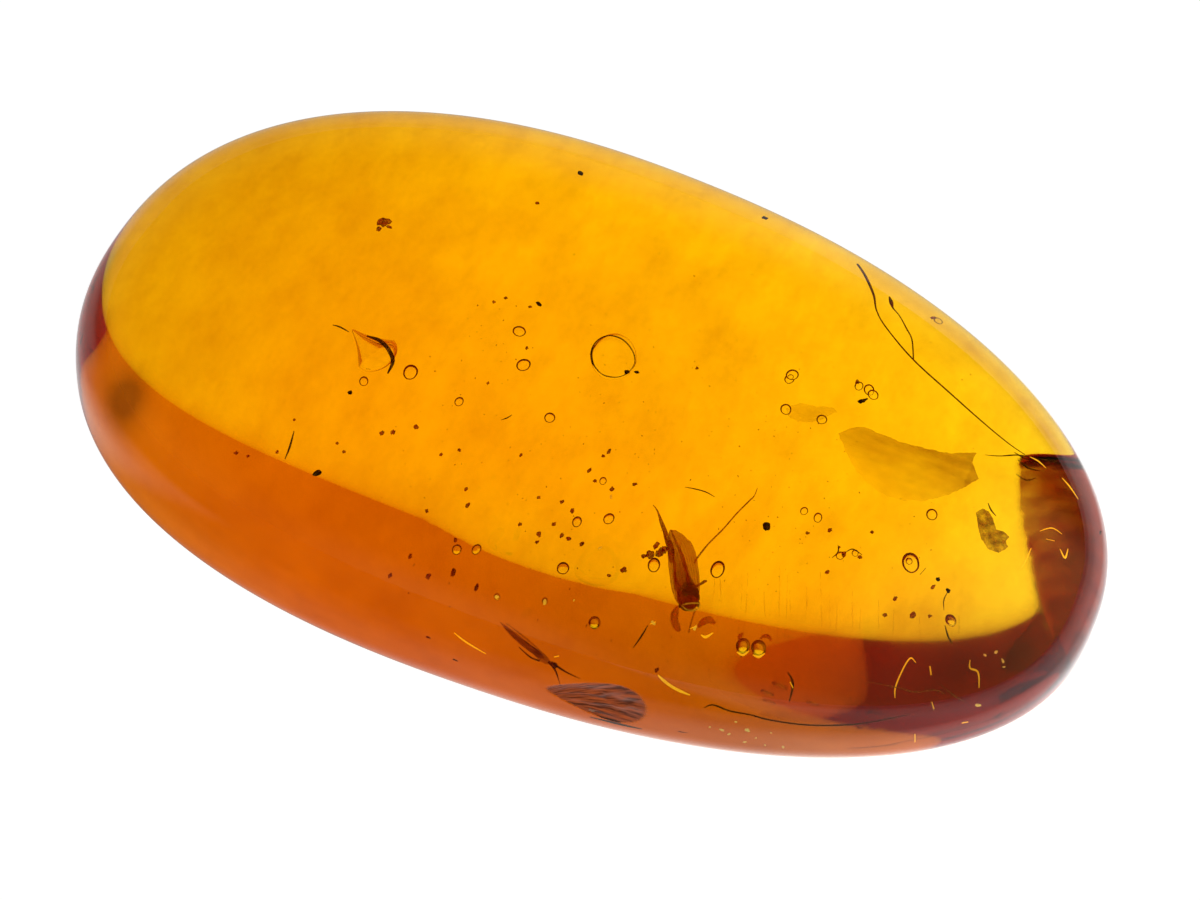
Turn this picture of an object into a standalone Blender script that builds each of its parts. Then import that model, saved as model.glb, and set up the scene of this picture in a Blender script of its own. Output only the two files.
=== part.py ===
import math

import bmesh
import bpy
from mathutils import Matrix, Vector

MM = 0.001  # every size and place below is in millimetres

# The pebble is a flattened egg. Its powers say how square it is: 2 is an ellipse.
HALF_LENGTH = 23.0
HALF_WIDTH = 13.56
DOME_HEIGHT = 8.23
BELLY_DEPTH = 4.0
PLAN_POWER = 2.25
DOME_POWER = 2.34
BELLY_POWER = 2.66
# Shares by which the egg departs from that: narrower and thinner towards +X, fuller towards +Y.
WIDTH_TAPER = -0.057
SIDE_BOW = -0.033
DOME_TAPER = -0.164
DOME_LEAN = 0.035
BELLY_TAPER = -0.3
BELLY_LEAN = -0.022
# How the egg lies once it has come to rest, and how deep its worn resting flat is.
PITCH = math.radians(3.0)
ROLL = math.radians(-0.9)
FLAT_DEPTH = 0.12
SKIN_SUBDIVISIONS = 5

# A worn facet under the +X end, tilted up from the table.
FACET_CENTRE = Vector((17.1, 3.45, 0.85))
FACET_TILT = math.radians(25)
FACET_BEARING = math.radians(20)

# A shell-shaped chip in the rim, on the -Y side.
CHIP_CENTRE = Vector((5.95, -13.13, 4.5))
CHIP_HALF_LENGTH = 2.1
CHIP_HALF_HEIGHT = 1.4
CHIP_DEPTH = 0.18

# The clear solid is parted level with the things sealed in it.
PARTING_HEIGHT = 4.8
PARTING_GAP = 0.3
PARTING_BOX = 60.0

# The main insect, lying with its head at -X of its own frame and its back up.
INSECT_PLACE = Vector((6.75, -6.08, PARTING_HEIGHT))
INSECT_TURN = math.radians(124)
# The slender gnat, with its head at +X of its own frame.
GNAT_PLACE = Vector((2.45, -11.18, PARTING_HEIGHT))
GNAT_TURN = math.radians(-26)

LEAF_PLACE = Vector((13.0, 2.07, PARTING_HEIGHT))
LEAF_THICKNESS = 0.1
LEAF_TILT = (math.radians(2.5), math.radians(-2.0), 0.0)
# Half of the leaf's torn outline at a time: the straighter upper edge, then the ragged lower one.
LEAF_UPPER_EDGE = ((-3.0, -0.25), (-2.25, 0.5), (-0.6, 0.5), (1.2, 0.7), (2.5, 1.4))
LEAF_LOWER_EDGE = ((2.55, 0.8), (3.0, 0.3), (1.8, -1.2), (0.3, -1.3), (-0.75, -1.05), (-1.65, -0.8))

BARK_PLACE = Vector((17.35, 0.27, PARTING_HEIGHT))
BARK_THICKNESS = 0.22
BARK_TILT = (math.radians(-6), math.radians(5), 0.0)
BARK_OUTLINE = (
    (-0.9, 0.5), (-0.7, 0.85), (-0.45, 0.85), (-0.2, 0.6), (0.1, 0.15), (0.4, 0.15),
    (0.7, 0.15), (0.85, -0.35), (0.6, -0.85), (0.15, -0.85), (-0.25, -0.55), (-0.6, -0.05),
)

# The long plant fibre and its side branch lie flat in the parting.
FIBRE_ROUTE = (
    (7.2, 10.17), (7.8, 9.67), (8.5, 8.92), (8.95, 8.22), (9.7, 7.57),
    (11.3, 6.62), (13.4, 5.72), (15.1, 5.07), (16.4, 4.62), (17.2, 4.47),
)
FIBRE_RADII = (0.05, 0.06, 0.05, 0.03, 0.03, 0.035, 0.035, 0.03, 0.025, 0.02)
BRANCH_ROUTE = ((9.1, 9.17), (9.3, 8.92), (9.5, 8.67), (9.9, 8.42), (10.4, 7.97), (10.85, 7.52), (11.3, 6.62))
BRANCH_RADII = (0.03, 0.09, 0.035, 0.025, 0.03, 0.03, 0.03)


def scene_collection(name):
    collection = bpy.data.collections.new(name)
    bpy.context.scene.collection.children.link(collection)
    return collection


def principled(name, colour, roughness, transmission=0.0, ior=1.5):
    material = bpy.data.materials.new(name)
    material.use_nodes = True
    shader = material.node_tree.nodes["Principled BSDF"]
    shader.inputs["Base Color"].default_value = (*colour, 1.0)
    shader.inputs["Roughness"].default_value = roughness
    shader.inputs["Metallic"].default_value = 0.0
    shader.inputs["Transmission Weight"].default_value = transmission
    shader.inputs["IOR"].default_value = ior
    return material


def add_object(name, mesh, collection, material=None):
    obj = bpy.data.objects.new(name, mesh)
    collection.objects.link(obj)
    if material:
        mesh.materials.append(material)
    return obj


def hide_helper(obj):
    obj.hide_render = True
    obj.display_type = "WIRE"


def placed(place, turn=0.0):
    return Matrix.Translation(place * MM) @ Matrix.Rotation(turn, 4, "Z")


def skin_point(direction):
    """The point of the egg's skin that this direction from its middle meets, before it is laid down."""
    rise_power = DOME_POWER if direction.z >= 0 else BELLY_POWER
    plan = abs(direction.x) ** PLAN_POWER + abs(direction.y) ** PLAN_POWER
    reach = (plan ** (rise_power / PLAN_POWER) + abs(direction.z) ** rise_power) ** (-1 / rise_power)
    x, y, z = direction * reach
    if z >= 0:
        height = DOME_HEIGHT * (1 + DOME_TAPER * x + DOME_LEAN * y)
    else:
        height = BELLY_DEPTH * (1 + BELLY_TAPER * x + BELLY_LEAN * y)
    width = y * (1 + WIDTH_TAPER * x) + SIDE_BOW * (x * x - 0.3)
    return Vector((HALF_LENGTH * x, HALF_WIDTH * width, height * z))


def chip_push(point):
    """How far the chip moves a skin point in towards the pebble's middle plane."""
    along = (point.x - CHIP_CENTRE.x) / CHIP_HALF_LENGTH
    up = (point.z - CHIP_CENTRE.z) / CHIP_HALF_HEIGHT
    spread = along * along + up * up
    if point.y > 0 or spread >= 1:
        return 0.0
    return CHIP_DEPTH * (1 - spread)


def wear_facet(point):
    """Moves a skin point that stands outside the worn facet's plane onto that plane."""
    facing = Vector((
        math.sin(FACET_TILT) * math.cos(FACET_BEARING),
        math.sin(FACET_TILT) * math.sin(FACET_BEARING),
        -math.cos(FACET_TILT),
    ))
    outside = (point - FACET_CENTRE).dot(facing)
    return point - facing * max(outside, 0.0)


def pebble_mesh(name):
    bm = bmesh.new()
    bmesh.ops.create_icosphere(bm, subdivisions=SKIN_SUBDIVISIONS, radius=1.0)
    lay_down = Matrix.Rotation(PITCH, 3, "Y") @ Matrix.Rotation(ROLL, 3, "X")
    for vert in bm.verts:
        vert.co = lay_down @ skin_point(vert.co.normalized())
    flat = min(vert.co.z for vert in bm.verts) + FLAT_DEPTH
    middle_x = (min(vert.co.x for vert in bm.verts) + max(vert.co.x for vert in bm.verts)) / 2
    middle_y = (min(vert.co.y for vert in bm.verts) + max(vert.co.y for vert in bm.verts)) / 2
    for vert in bm.verts:
        vert.co -= Vector((middle_x, middle_y, flat))
        vert.co.z = max(vert.co.z, 0.0)
        vert.co = wear_facet(vert.co)
        vert.co.y += chip_push(vert.co)
        vert.co *= MM
    mesh = bpy.data.meshes.new(name)
    bm.to_mesh(mesh)
    bm.free()
    mesh.shade_smooth()
    return mesh


def box_cutter(name, bottom, top):
    bm = bmesh.new()
    bmesh.ops.create_cube(bm, size=1.0)
    for vert in bm.verts:
        vert.co.x *= PARTING_BOX * MM
        vert.co.y *= PARTING_BOX * MM
        vert.co.z = (top if vert.co.z > 0 else bottom) * MM
    mesh = bpy.data.meshes.new(name)
    bm.to_mesh(mesh)
    bm.free()
    obj = add_object(name, mesh, cutters)
    hide_helper(obj)
    return obj


def cut(obj, cutter):
    modifier = obj.modifiers.new("cut_" + cutter.name, "BOOLEAN")
    modifier.operation = "DIFFERENCE"
    modifier.solver = "EXACT"
    modifier.object = cutter


def fuse(obj, other):
    modifier = obj.modifiers.new("fuse_" + other.name, "BOOLEAN")
    modifier.operation = "UNION"
    modifier.solver = "EXACT"
    modifier.object = other


def ellipsoid(name, centre, half_sizes, frame=Matrix(), turn=0.0, lean=0.0, segments=16, rings=10):
    """A helper ellipsoid in a specimen's own frame, turned about Z and then leant about X."""
    bm = bmesh.new()
    bmesh.ops.create_uvsphere(bm, u_segments=segments, v_segments=rings, radius=MM)
    stretch = Matrix.Diagonal((*half_sizes, 1.0))
    attitude = Matrix.Rotation(turn, 4, "Z") @ Matrix.Rotation(lean, 4, "X")
    bm.transform(Matrix.Translation(Vector(centre) * MM) @ attitude @ stretch)
    mesh = bpy.data.meshes.new(name)
    bm.to_mesh(mesh)
    bm.free()
    mesh.shade_smooth()
    obj = add_object(name, mesh, cutters)
    obj.matrix_world = frame
    hide_helper(obj)
    return obj


def tube(name, points, radii, frame=Matrix()):
    """A tapering limb or fibre through these points, as a closed mesh."""
    curve = bpy.data.curves.new(name, "CURVE")
    curve.dimensions = "3D"
    curve.bevel_depth = MM
    curve.bevel_resolution = 1
    curve.use_fill_caps = True
    spline = curve.splines.new("POLY")
    spline.points.add(len(points) - 1)
    for knot, point, radius in zip(spline.points, points, radii):
        knot.co = (*(Vector(point).to_3d() * MM), 1.0)
        knot.radius = radius
    guide = bpy.data.objects.new(name + "_guide", curve)
    cutters.objects.link(guide)
    graph = bpy.context.evaluated_depsgraph_get()
    mesh = bpy.data.meshes.new_from_object(guide.evaluated_get(graph))
    bpy.data.objects.remove(guide)
    bm = bmesh.new()
    bm.from_mesh(mesh)
    bmesh.ops.remove_doubles(bm, verts=bm.verts, dist=0.002 * MM)
    bmesh.ops.recalc_face_normals(bm, faces=bm.faces)
    bm.to_mesh(mesh)
    bm.free()
    mesh.shade_smooth()
    obj = add_object(name, mesh, cutters)
    obj.matrix_world = frame
    hide_helper(obj)
    return obj


def fused_specimen(name, pieces, material):
    """One solid of all these helper pieces, in a new object that carries their union."""
    first, *others = pieces
    obj = add_object(name, first.data.copy(), parts, material)
    obj.matrix_world = first.matrix_world
    for other in others:
        fuse(obj, other)
    bpy.data.objects.remove(first)
    return obj


def flat_piece(name, outline, thickness, place, tilt, material):
    """A thin flake: an outline filled on both sides, as thick as asked."""
    curve = bpy.data.curves.new(name, "CURVE")
    curve.dimensions = "2D"
    curve.fill_mode = "BOTH"
    curve.extrude = thickness * MM / 2
    spline = curve.splines.new("POLY")
    spline.use_cyclic_u = True
    spline.points.add(len(outline) - 1)
    for knot, (x, y) in zip(spline.points, outline):
        knot.co = (x * MM, y * MM, 0.0, 1.0)
    curve.materials.append(material)
    obj = bpy.data.objects.new(name, curve)
    parts.objects.link(obj)
    obj.location = place * MM
    obj.rotation_euler = tilt
    return obj


def add_insect(material):
    frame = placed(INSECT_PLACE, INSECT_TURN)
    pieces = [
        ellipsoid("insect_abdomen", (0.25, 0.0, -0.04), (1.4, 0.5, 0.36), frame, segments=16, rings=10),
        ellipsoid("insect_thorax", (-0.8, 0.0, 0.0), (0.66, 0.55, 0.44), frame, segments=14, rings=8),
        ellipsoid("insect_head", (-1.37, -0.02, -0.02), (0.36, 0.4, 0.33), frame, segments=12, rings=8),
        ellipsoid("insect_eye_left", (-1.47, 0.33, 0.06), (0.13, 0.12, 0.14), frame, segments=8, rings=6),
        ellipsoid("insect_eye_right", (-1.47, -0.35, 0.06), (0.13, 0.12, 0.14), frame, segments=8, rings=6),
        ellipsoid("insect_wing_right", (0.4, -0.2, 0.27), (1.33, 0.42, 0.1), frame,
                  turn=math.radians(-3), lean=math.radians(12), segments=14, rings=8),
        ellipsoid("insect_wing_left", (0.3, 0.16, 0.3), (1.3, 0.42, 0.1), frame,
                  turn=math.radians(7), lean=math.radians(-12), segments=14, rings=8),
        tube("insect_tail_spike", ((0.8, 0.34), (1.4, 0.41), (2.0, 0.47), (2.42, 0.53), (2.98, 0.72)),
             (0.16, 0.13, 0.09, 0.04, 0.012), frame),
        tube("insect_leg_long", ((0.05, -0.35), (0.42, -0.69), (0.81, -1.19), (1.19, -1.65), (1.59, -2.11),
                                 (1.97, -2.72), (2.36, -3.25), (2.75, -3.38)),
             (0.05, 0.035, 0.028, 0.026, 0.025, 0.024, 0.02, 0.012), frame),
        tube("insect_leg_stub", ((-0.76, -0.4), (-0.73, -0.62), (-0.69, -0.86)), (0.06, 0.06, 0.04), frame),
    ]
    for side in (1, -1):
        hand = "left" if side > 0 else "right"
        pieces.append(tube("insect_leg_front_" + hand,
                           ((-1.0, side * 0.2, -0.34), (-0.9, side * 0.46, -0.48), (-0.4, side * 0.4, -0.5)),
                           (0.07, 0.05, 0.03), frame))
        pieces.append(tube("insect_leg_middle_" + hand,
                           ((-0.5, side * 0.2, -0.32), (-0.2, side * 0.5, -0.46), (0.5, side * 0.36, -0.48)),
                           (0.07, 0.05, 0.03), frame))
    return fused_specimen("insect", pieces, material)


def add_gnat(material):
    frame = placed(GNAT_PLACE, GNAT_TURN)
    pieces = [
        ellipsoid("gnat_abdomen", (-0.33, 0.0, 0.0), (1.33, 0.2, 0.17), frame, segments=12, rings=10),
        ellipsoid("gnat_thorax", (0.92, 0.0, 0.03), (0.5, 0.22, 0.21), frame, segments=10, rings=8),
        ellipsoid("gnat_head", (1.48, 0.08, 0.02), (0.17, 0.17, 0.16), frame, segments=8, rings=6),
        ellipsoid("gnat_wing", (-0.05, 0.02, 0.17), (1.2, 0.19, 0.06), frame, segments=12, rings=8),
        tube("gnat_leg_near", ((1.2, 0.05), (1.6, -0.08), (2.0, -0.32), (2.45, -0.67)),
             (0.07, 0.05, 0.035, 0.015), frame),
        tube("gnat_leg_far", ((1.3, 0.15), (1.75, 0.14), (2.2, 0.2), (2.66, 0.33)),
             (0.07, 0.05, 0.035, 0.015), frame),
    ]
    return fused_specimen("gnat", pieces, material)


def add_fibre(material):
    level = Matrix.Translation((0.0, 0.0, PARTING_HEIGHT * MM))
    pieces = [
        tube("fibre_stem", FIBRE_ROUTE, FIBRE_RADII, level),
        tube("fibre_branch", BRANCH_ROUTE, BRANCH_RADII, level),
    ]
    return fused_specimen("plant_fibre", pieces, material)


def add_pockets():
    """Hollows a little larger than the specimens, each one opening at the parting."""
    return [
        ellipsoid("pocket_insect", (0.0, 0.0, 0.0), (2.45, 1.12, 0.95), placed(INSECT_PLACE, INSECT_TURN),
                  segments=18, rings=10),
        ellipsoid("pocket_gnat", (0.1, 0.0, 0.0), (2.1, 0.6, 0.55), placed(GNAT_PLACE, GNAT_TURN),
                  segments=16, rings=8),
        ellipsoid("pocket_leaf", (0.0, 0.0, 0.0), (4.0, 1.9, 0.6), placed(LEAF_PLACE, math.radians(5)),
                  segments=18, rings=8),
        ellipsoid("pocket_bark", (0.0, 0.0, 0.0), (1.35, 1.3, 0.55), placed(BARK_PLACE),
                  segments=16, rings=8),
    ]


def add_half(name, skin, cutter, pockets, material):
    half = add_object(name, skin.copy(), parts, material)
    for helper in (cutter, *pockets):
        cut(half, helper)
    return half


for old in list(bpy.data.objects):
    bpy.data.objects.remove(old)

parts = scene_collection("insect_in_amber")
cutters = scene_collection("cutters")

amber = principled("amber", (0.95, 0.5, 0.04), 0.05, transmission=1.0, ior=1.54)
insect_brown = principled("insect_brown", (0.13, 0.035, 0.008), 0.4)
gnat_brown = principled("gnat_brown", (0.1, 0.02, 0.006), 0.4)
leaf_brown = principled("leaf_brown", (0.3, 0.16, 0.02), 0.7)
bark_brown = principled("bark_brown", (0.2, 0.11, 0.02), 0.8)
fibre_brown = principled("fibre_brown", (0.06, 0.02, 0.01), 0.6)

skin = pebble_mesh("pebble")
above = box_cutter("parting_above", PARTING_HEIGHT - PARTING_GAP / 2, PARTING_BOX)
below = box_cutter("parting_below", -PARTING_BOX, PARTING_HEIGHT + PARTING_GAP / 2)
pockets = add_pockets()
add_half("amber_lower", skin, above, pockets, amber)
add_half("amber_upper", skin, below, pockets, amber)
bpy.data.meshes.remove(skin)

add_insect(insect_brown)
add_gnat(gnat_brown)
flat_piece("leaf_fragment", LEAF_UPPER_EDGE + LEAF_LOWER_EDGE, LEAF_THICKNESS, LEAF_PLACE, LEAF_TILT, leaf_brown)
flat_piece("bark_flake", BARK_OUTLINE, BARK_THICKNESS, BARK_PLACE, BARK_TILT, bark_brown)
add_fibre(fibre_brown)
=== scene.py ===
import math
import random

import bmesh
import bpy
from mathutils import Matrix, Vector, noise
from mathutils.bvhtree import BVHTree
from mathutils.geometry import delaunay_2d_cdt


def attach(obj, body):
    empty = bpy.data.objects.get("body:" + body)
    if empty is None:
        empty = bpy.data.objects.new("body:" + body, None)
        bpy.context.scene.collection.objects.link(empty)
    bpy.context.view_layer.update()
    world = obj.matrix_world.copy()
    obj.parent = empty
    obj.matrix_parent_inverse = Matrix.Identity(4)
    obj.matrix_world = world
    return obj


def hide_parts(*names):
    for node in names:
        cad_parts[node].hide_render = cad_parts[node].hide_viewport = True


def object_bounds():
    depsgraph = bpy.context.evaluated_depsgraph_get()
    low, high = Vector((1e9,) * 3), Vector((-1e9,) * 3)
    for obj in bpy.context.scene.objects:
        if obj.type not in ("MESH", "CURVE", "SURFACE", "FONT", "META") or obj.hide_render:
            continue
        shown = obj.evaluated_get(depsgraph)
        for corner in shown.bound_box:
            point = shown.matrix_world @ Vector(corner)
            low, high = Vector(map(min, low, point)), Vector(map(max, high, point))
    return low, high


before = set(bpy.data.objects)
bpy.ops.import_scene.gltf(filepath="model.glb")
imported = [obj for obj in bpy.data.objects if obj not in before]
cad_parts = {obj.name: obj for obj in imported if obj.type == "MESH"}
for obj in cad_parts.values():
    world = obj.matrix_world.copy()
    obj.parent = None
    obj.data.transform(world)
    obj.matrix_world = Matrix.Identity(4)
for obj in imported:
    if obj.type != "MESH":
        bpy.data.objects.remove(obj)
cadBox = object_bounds()
print("frame loaded:", sorted(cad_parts))

mm = 0.001
up = Vector((0, 0, 1))

# the camera looks down on the pebble, turned a little round to its right
shot = {
    "turn": math.radians(23.48),
    "down": math.radians(50),
    "distance": 143.3,
    "lens": 100,
    "film": 36,
    "aim": Vector((0.568, -0.226, 3.621)),
    "width": 1200,
    "height": 900,
}


def makeCamera():
    turn = Matrix.Rotation(shot["turn"], 3, "Z")
    right = turn @ Vector((1, 0, 0))
    forward = turn @ Vector((0, math.cos(shot["down"]), -math.sin(shot["down"])))
    above = right.cross(forward)
    camera = bpy.data.cameras.new("camera")
    camera.lens = shot["lens"]
    camera.sensor_width = shot["film"]
    camera.clip_start = 0.005
    obj = bpy.data.objects.new("camera", camera)
    bpy.context.collection.objects.link(obj)
    matrix = Matrix((right, above, -forward)).transposed().to_4x4()
    matrix.translation = (shot["aim"] - forward * shot["distance"]) * mm
    obj.matrix_world = matrix
    bpy.context.scene.camera = obj
    return matrix


cameraMatrix = makeCamera()


# the direction in which a pixel of the frame looks
def pixelRay(x, y):
    across = (x - shot["width"] / 2) / shot["width"] * shot["film"] / shot["lens"]
    rise = (shot["height"] / 2 - y) / shot["width"] * shot["film"] / shot["lens"]
    return (cameraMatrix.to_3x3() @ Vector((across, rise, -1))).normalized()


# a named piece with its materials
def addObject(name, bm, *materials, smooth=True):
    mesh = bpy.data.meshes.new(name)
    bm.to_mesh(mesh)
    bm.free()
    for material in materials:
        mesh.materials.append(material)
    if smooth:
        mesh.shade_smooth()
    obj = bpy.data.objects.new(name, mesh)
    bpy.context.collection.objects.link(obj)
    return obj


# the piece rides the root and may stand for nodes of the part
def settle(obj, slot, *nodes):
    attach(obj, "root")
    if nodes:
        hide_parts(*nodes)


# a smooth line through the points; plain values such as radii may ride along as more coordinates
def smoothPath(points, steps):
    rows = [list(point) for point in points]
    rows = [rows[0], *rows, rows[-1]]
    path = []
    for index in range(1, len(rows) - 2):
        a, b, c, d = rows[index - 1 : index + 3]
        for step in range(steps):
            t = step / steps
            path.append([
                0.5 * (2 * q + (r - p) * t + (2 * p - 5 * q + 4 * r - s) * t * t + (3 * q - p - 3 * r + s) * t ** 3)
                for p, q, r, s in zip(a, b, c, d)
            ])
    path.append(rows[-2])
    return path


# joins a row of rings, closes both ends and turns the faces outwards
def closeRings(bm, rings, materialIndex=0):
    sides = len(rings[0])
    faces = [
        bm.faces.new((before[k], before[(k + 1) % sides], after[(k + 1) % sides], after[k]))
        for before, after in zip(rings, rings[1:]) for k in range(sides)
    ]
    faces += [bm.faces.new(rings[0][::-1]), bm.faces.new(rings[-1])]
    for face in faces:
        face.material_index = materialIndex
    bmesh.ops.recalc_face_normals(bm, faces=faces)


# a closed tapering tube; each point is x, y, z, radius
def addTube(bm, points, sides=6, materialIndex=0):
    centres = [Vector(point[:3]) for point in points]
    rings = []
    for index, centre in enumerate(centres):
        ahead = centres[min(index + 1, len(centres) - 1)] - centres[max(index - 1, 0)]
        side = ahead.cross(up)
        if side.length < 1e-4 * max(ahead.length, 1e-9):
            side = Vector((1, 0, 0))
        side.normalize()
        lift = side.cross(ahead).normalized()
        radius = points[index][3]
        rings.append([
            bm.verts.new(centre + (side * math.cos(angle) + lift * math.sin(angle)) * radius)
            for angle in (2 * math.pi * k / sides for k in range(sides))
        ])
    closeRings(bm, rings, materialIndex)


# a smoothed tube along a route given in millimetres
def addStrand(bm, route, steps, sides):
    addTube(bm, [[value * mm for value in point] for point in smoothPath(route, steps)], sides=sides)


# a rounded lump, crumb or hollow
def addBlob(bm, centre, sizes, turn=Matrix(), detail=2, rough=0.0, seed=0, materialIndex=0, inside=False):
    made = bmesh.ops.create_icosphere(bm, subdivisions=detail, radius=1.0)["verts"]
    shift = Vector((seed * 3.7, seed * 1.3, seed * 5.1))
    for vert in made:
        grow = 1 + rough * noise.noise(vert.co * 1.3 + shift) + 0.5 * rough * noise.noise(vert.co * 3 + shift)
        local = Vector((vert.co.x * sizes[0], vert.co.y * sizes[1], vert.co.z * sizes[2])) * grow
        vert.co = Vector(centre) + turn.to_3x3() @ local
    faces = {face for vert in made for face in vert.link_faces}
    for face in faces:
        face.material_index = materialIndex
    if inside:
        bmesh.ops.reverse_faces(bm, faces=list(faces))


# gives a node's inputs plain values or joins them to other nodes
def feed(node, inputs):
    for key, value in inputs.items():
        if isinstance(value, bpy.types.NodeSocket):
            node.id_data.links.new(value, node.inputs[key])
        else:
            node.inputs[key].default_value = value
    return node


def addNode(tree, kind, inputs=None, **settings):
    node = tree.nodes.new(kind)
    for name, value in settings.items():
        setattr(node, name, value)
    return feed(node, inputs or {})


def newMaterial(name):
    material = bpy.data.materials.new(name)
    material.use_nodes = True
    return material, material.node_tree.nodes["Principled BSDF"]


def attribute(tree, name):
    return addNode(tree, "ShaderNodeAttribute", attribute_name=name).outputs["Fac"]


# X, Y and Z of a texture coordinate
def axesOf(tree, kind):
    coords = addNode(tree, "ShaderNodeTexCoord").outputs[kind]
    return addNode(tree, "ShaderNodeSeparateXYZ", {"Vector": coords}).outputs


# a product, or the highest, of any number of values
def combine(operation, first, *others):
    for other in others:
        first = addNode(first.id_data, "ShaderNodeMath", {0: first, 1: other}, operation=operation).outputs["Value"]
    return first


# changes smoothly from one level to another while a value runs from start to end
def spread(value, start, end, low=0.0, high=1.0):
    limits = {"Value": value, "From Min": start, "From Max": end, "To Min": low, "To Max": high}
    return addNode(value.id_data, "ShaderNodeMapRange", limits, interpolation_type="SMOOTHSTEP").outputs["Result"]


# eased levels along a value; each stop is a place and its level
def levelsAlong(value, low, high, stops):
    reach = addNode(value.id_data, "ShaderNodeMapRange", {"Value": value, "From Min": low, "From Max": high})
    node = addNode(value.id_data, "ShaderNodeValToRGB", {"Fac": reach.outputs["Result"]})
    ramp = node.color_ramp
    ramp.interpolation = "EASE"
    while len(ramp.elements) < len(stops):
        ramp.elements.new(0.5)
    for element, (place, level) in zip(ramp.elements, stops):
        element.position = (place - low) / (high - low)
        element.color = (level, level, level, 1)
    return node.outputs["Color"]


def tinted(colour, factor, tint, blend="MULTIPLY"):
    inputs = {0: factor, 6: colour, 7: (*tint, 1) if isinstance(tint, tuple) else tint}
    return addNode(colour.id_data, "ShaderNodeMix", inputs, data_type="RGBA", blend_type=blend).outputs[2]


# one level, or another for the kind of ray that the test names
def levelFor(test, usual, level):
    return addNode(test.id_data, "ShaderNodeMix", {0: test, 2: usual, 3: level}).outputs[0]


# cloudy blend of two colours, in every material
def mottleGroup():
    group = bpy.data.node_groups.new("mottle", "ShaderNodeTree")
    for name, kind, value in (
        ("Scale", "NodeSocketFloat", 1000.0),
        ("Stretch", "NodeSocketVector", (1.0, 1.0, 1.0)),
        ("Low", "NodeSocketFloat", 0.35),
        ("High", "NodeSocketFloat", 0.65),
        ("Dark", "NodeSocketColor", (0.0, 0.0, 0.0, 1.0)),
        ("Light", "NodeSocketColor", (1.0, 1.0, 1.0, 1.0)),
    ):
        group.interface.new_socket(name=name, in_out="INPUT", socket_type=kind).default_value = value
    group.interface.new_socket(name="Color", in_out="OUTPUT", socket_type="NodeSocketColor")
    group.interface.new_socket(name="Mask", in_out="OUTPUT", socket_type="NodeSocketFloat")
    given = addNode(group, "NodeGroupInput").outputs
    coords = addNode(group, "ShaderNodeTexCoord").outputs["Object"]
    mapping = addNode(group, "ShaderNodeMapping", {"Vector": coords, "Scale": given["Stretch"]})
    cloud = addNode(group, "ShaderNodeTexNoise", {
        "Vector": mapping.outputs["Vector"], "Scale": given["Scale"], "Detail": 4.0, "Roughness": 0.6,
    })
    mask = addNode(group, "ShaderNodeMapRange", {
        "Value": cloud.outputs["Fac"], "From Min": given["Low"], "From Max": given["High"],
    }).outputs["Result"]
    blend = addNode(group, "ShaderNodeMix", {0: mask, 6: given["Dark"], 7: given["Light"]}, data_type="RGBA")
    addNode(group, "NodeGroupOutput", {"Color": blend.outputs[2], "Mask": mask})
    return group


mottle = mottleGroup()


def addMottle(tree, scale, dark=(0, 0, 0), light=(1, 1, 1), stretch=(1, 1, 1), low=0.35, high=0.65):
    inputs = {"Scale": scale, "Stretch": stretch, "Low": low, "High": high, "Dark": (*dark, 1), "Light": (*light, 1)}
    return addNode(tree, "ShaderNodeGroup", inputs, node_tree=mottle).outputs


# what a look has unless it says otherwise
usualLook = {"relief": 0.01, "roughness": 0.5, "stretch": (1, 1, 1)}


# brown things sealed in the amber: mottled colour, a little see-through, fine relief
def sealedMaterial(name, look):
    look = {**usualLook, **look}
    material, shader = newMaterial(name)
    tree = material.node_tree
    stretch = look["stretch"]
    colour = addMottle(tree, look["scale"], look["dark"], look["light"], stretch)
    thinnest, thickest = look["alpha"]
    if thinnest < 1:
        thin = addMottle(tree, look["scale"] * 0.6, stretch=stretch)["Mask"]
        limits = {"Value": thin, "To Min": thinnest, "To Max": thickest}
        alpha = addNode(tree, "ShaderNodeMapRange", limits).outputs["Result"]
        if "fade" in look:
            alpha = combine("MULTIPLY", alpha, attribute(tree, look["fade"]))
        feed(shader, {"Alpha": alpha})
    relief = {"Strength": 0.5, "Distance": look["relief"] * mm, "Height": colour["Mask"]}
    feed(shader, {
        "Base Color": colour["Color"],
        "Normal": addNode(tree, "ShaderNodeBump", relief).outputs["Normal"],
        "Roughness": look["roughness"],
        "Specular IOR Level": 0.3,
    })
    # a painted glow: emitted light on pieces that are no lamps
    if "painted_glow" in look:
        feed(shader, {"Emission Color": (*look["painted_glow"][:3], 1), "Emission Strength": look["painted_glow"][3]})
    return material


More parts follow.
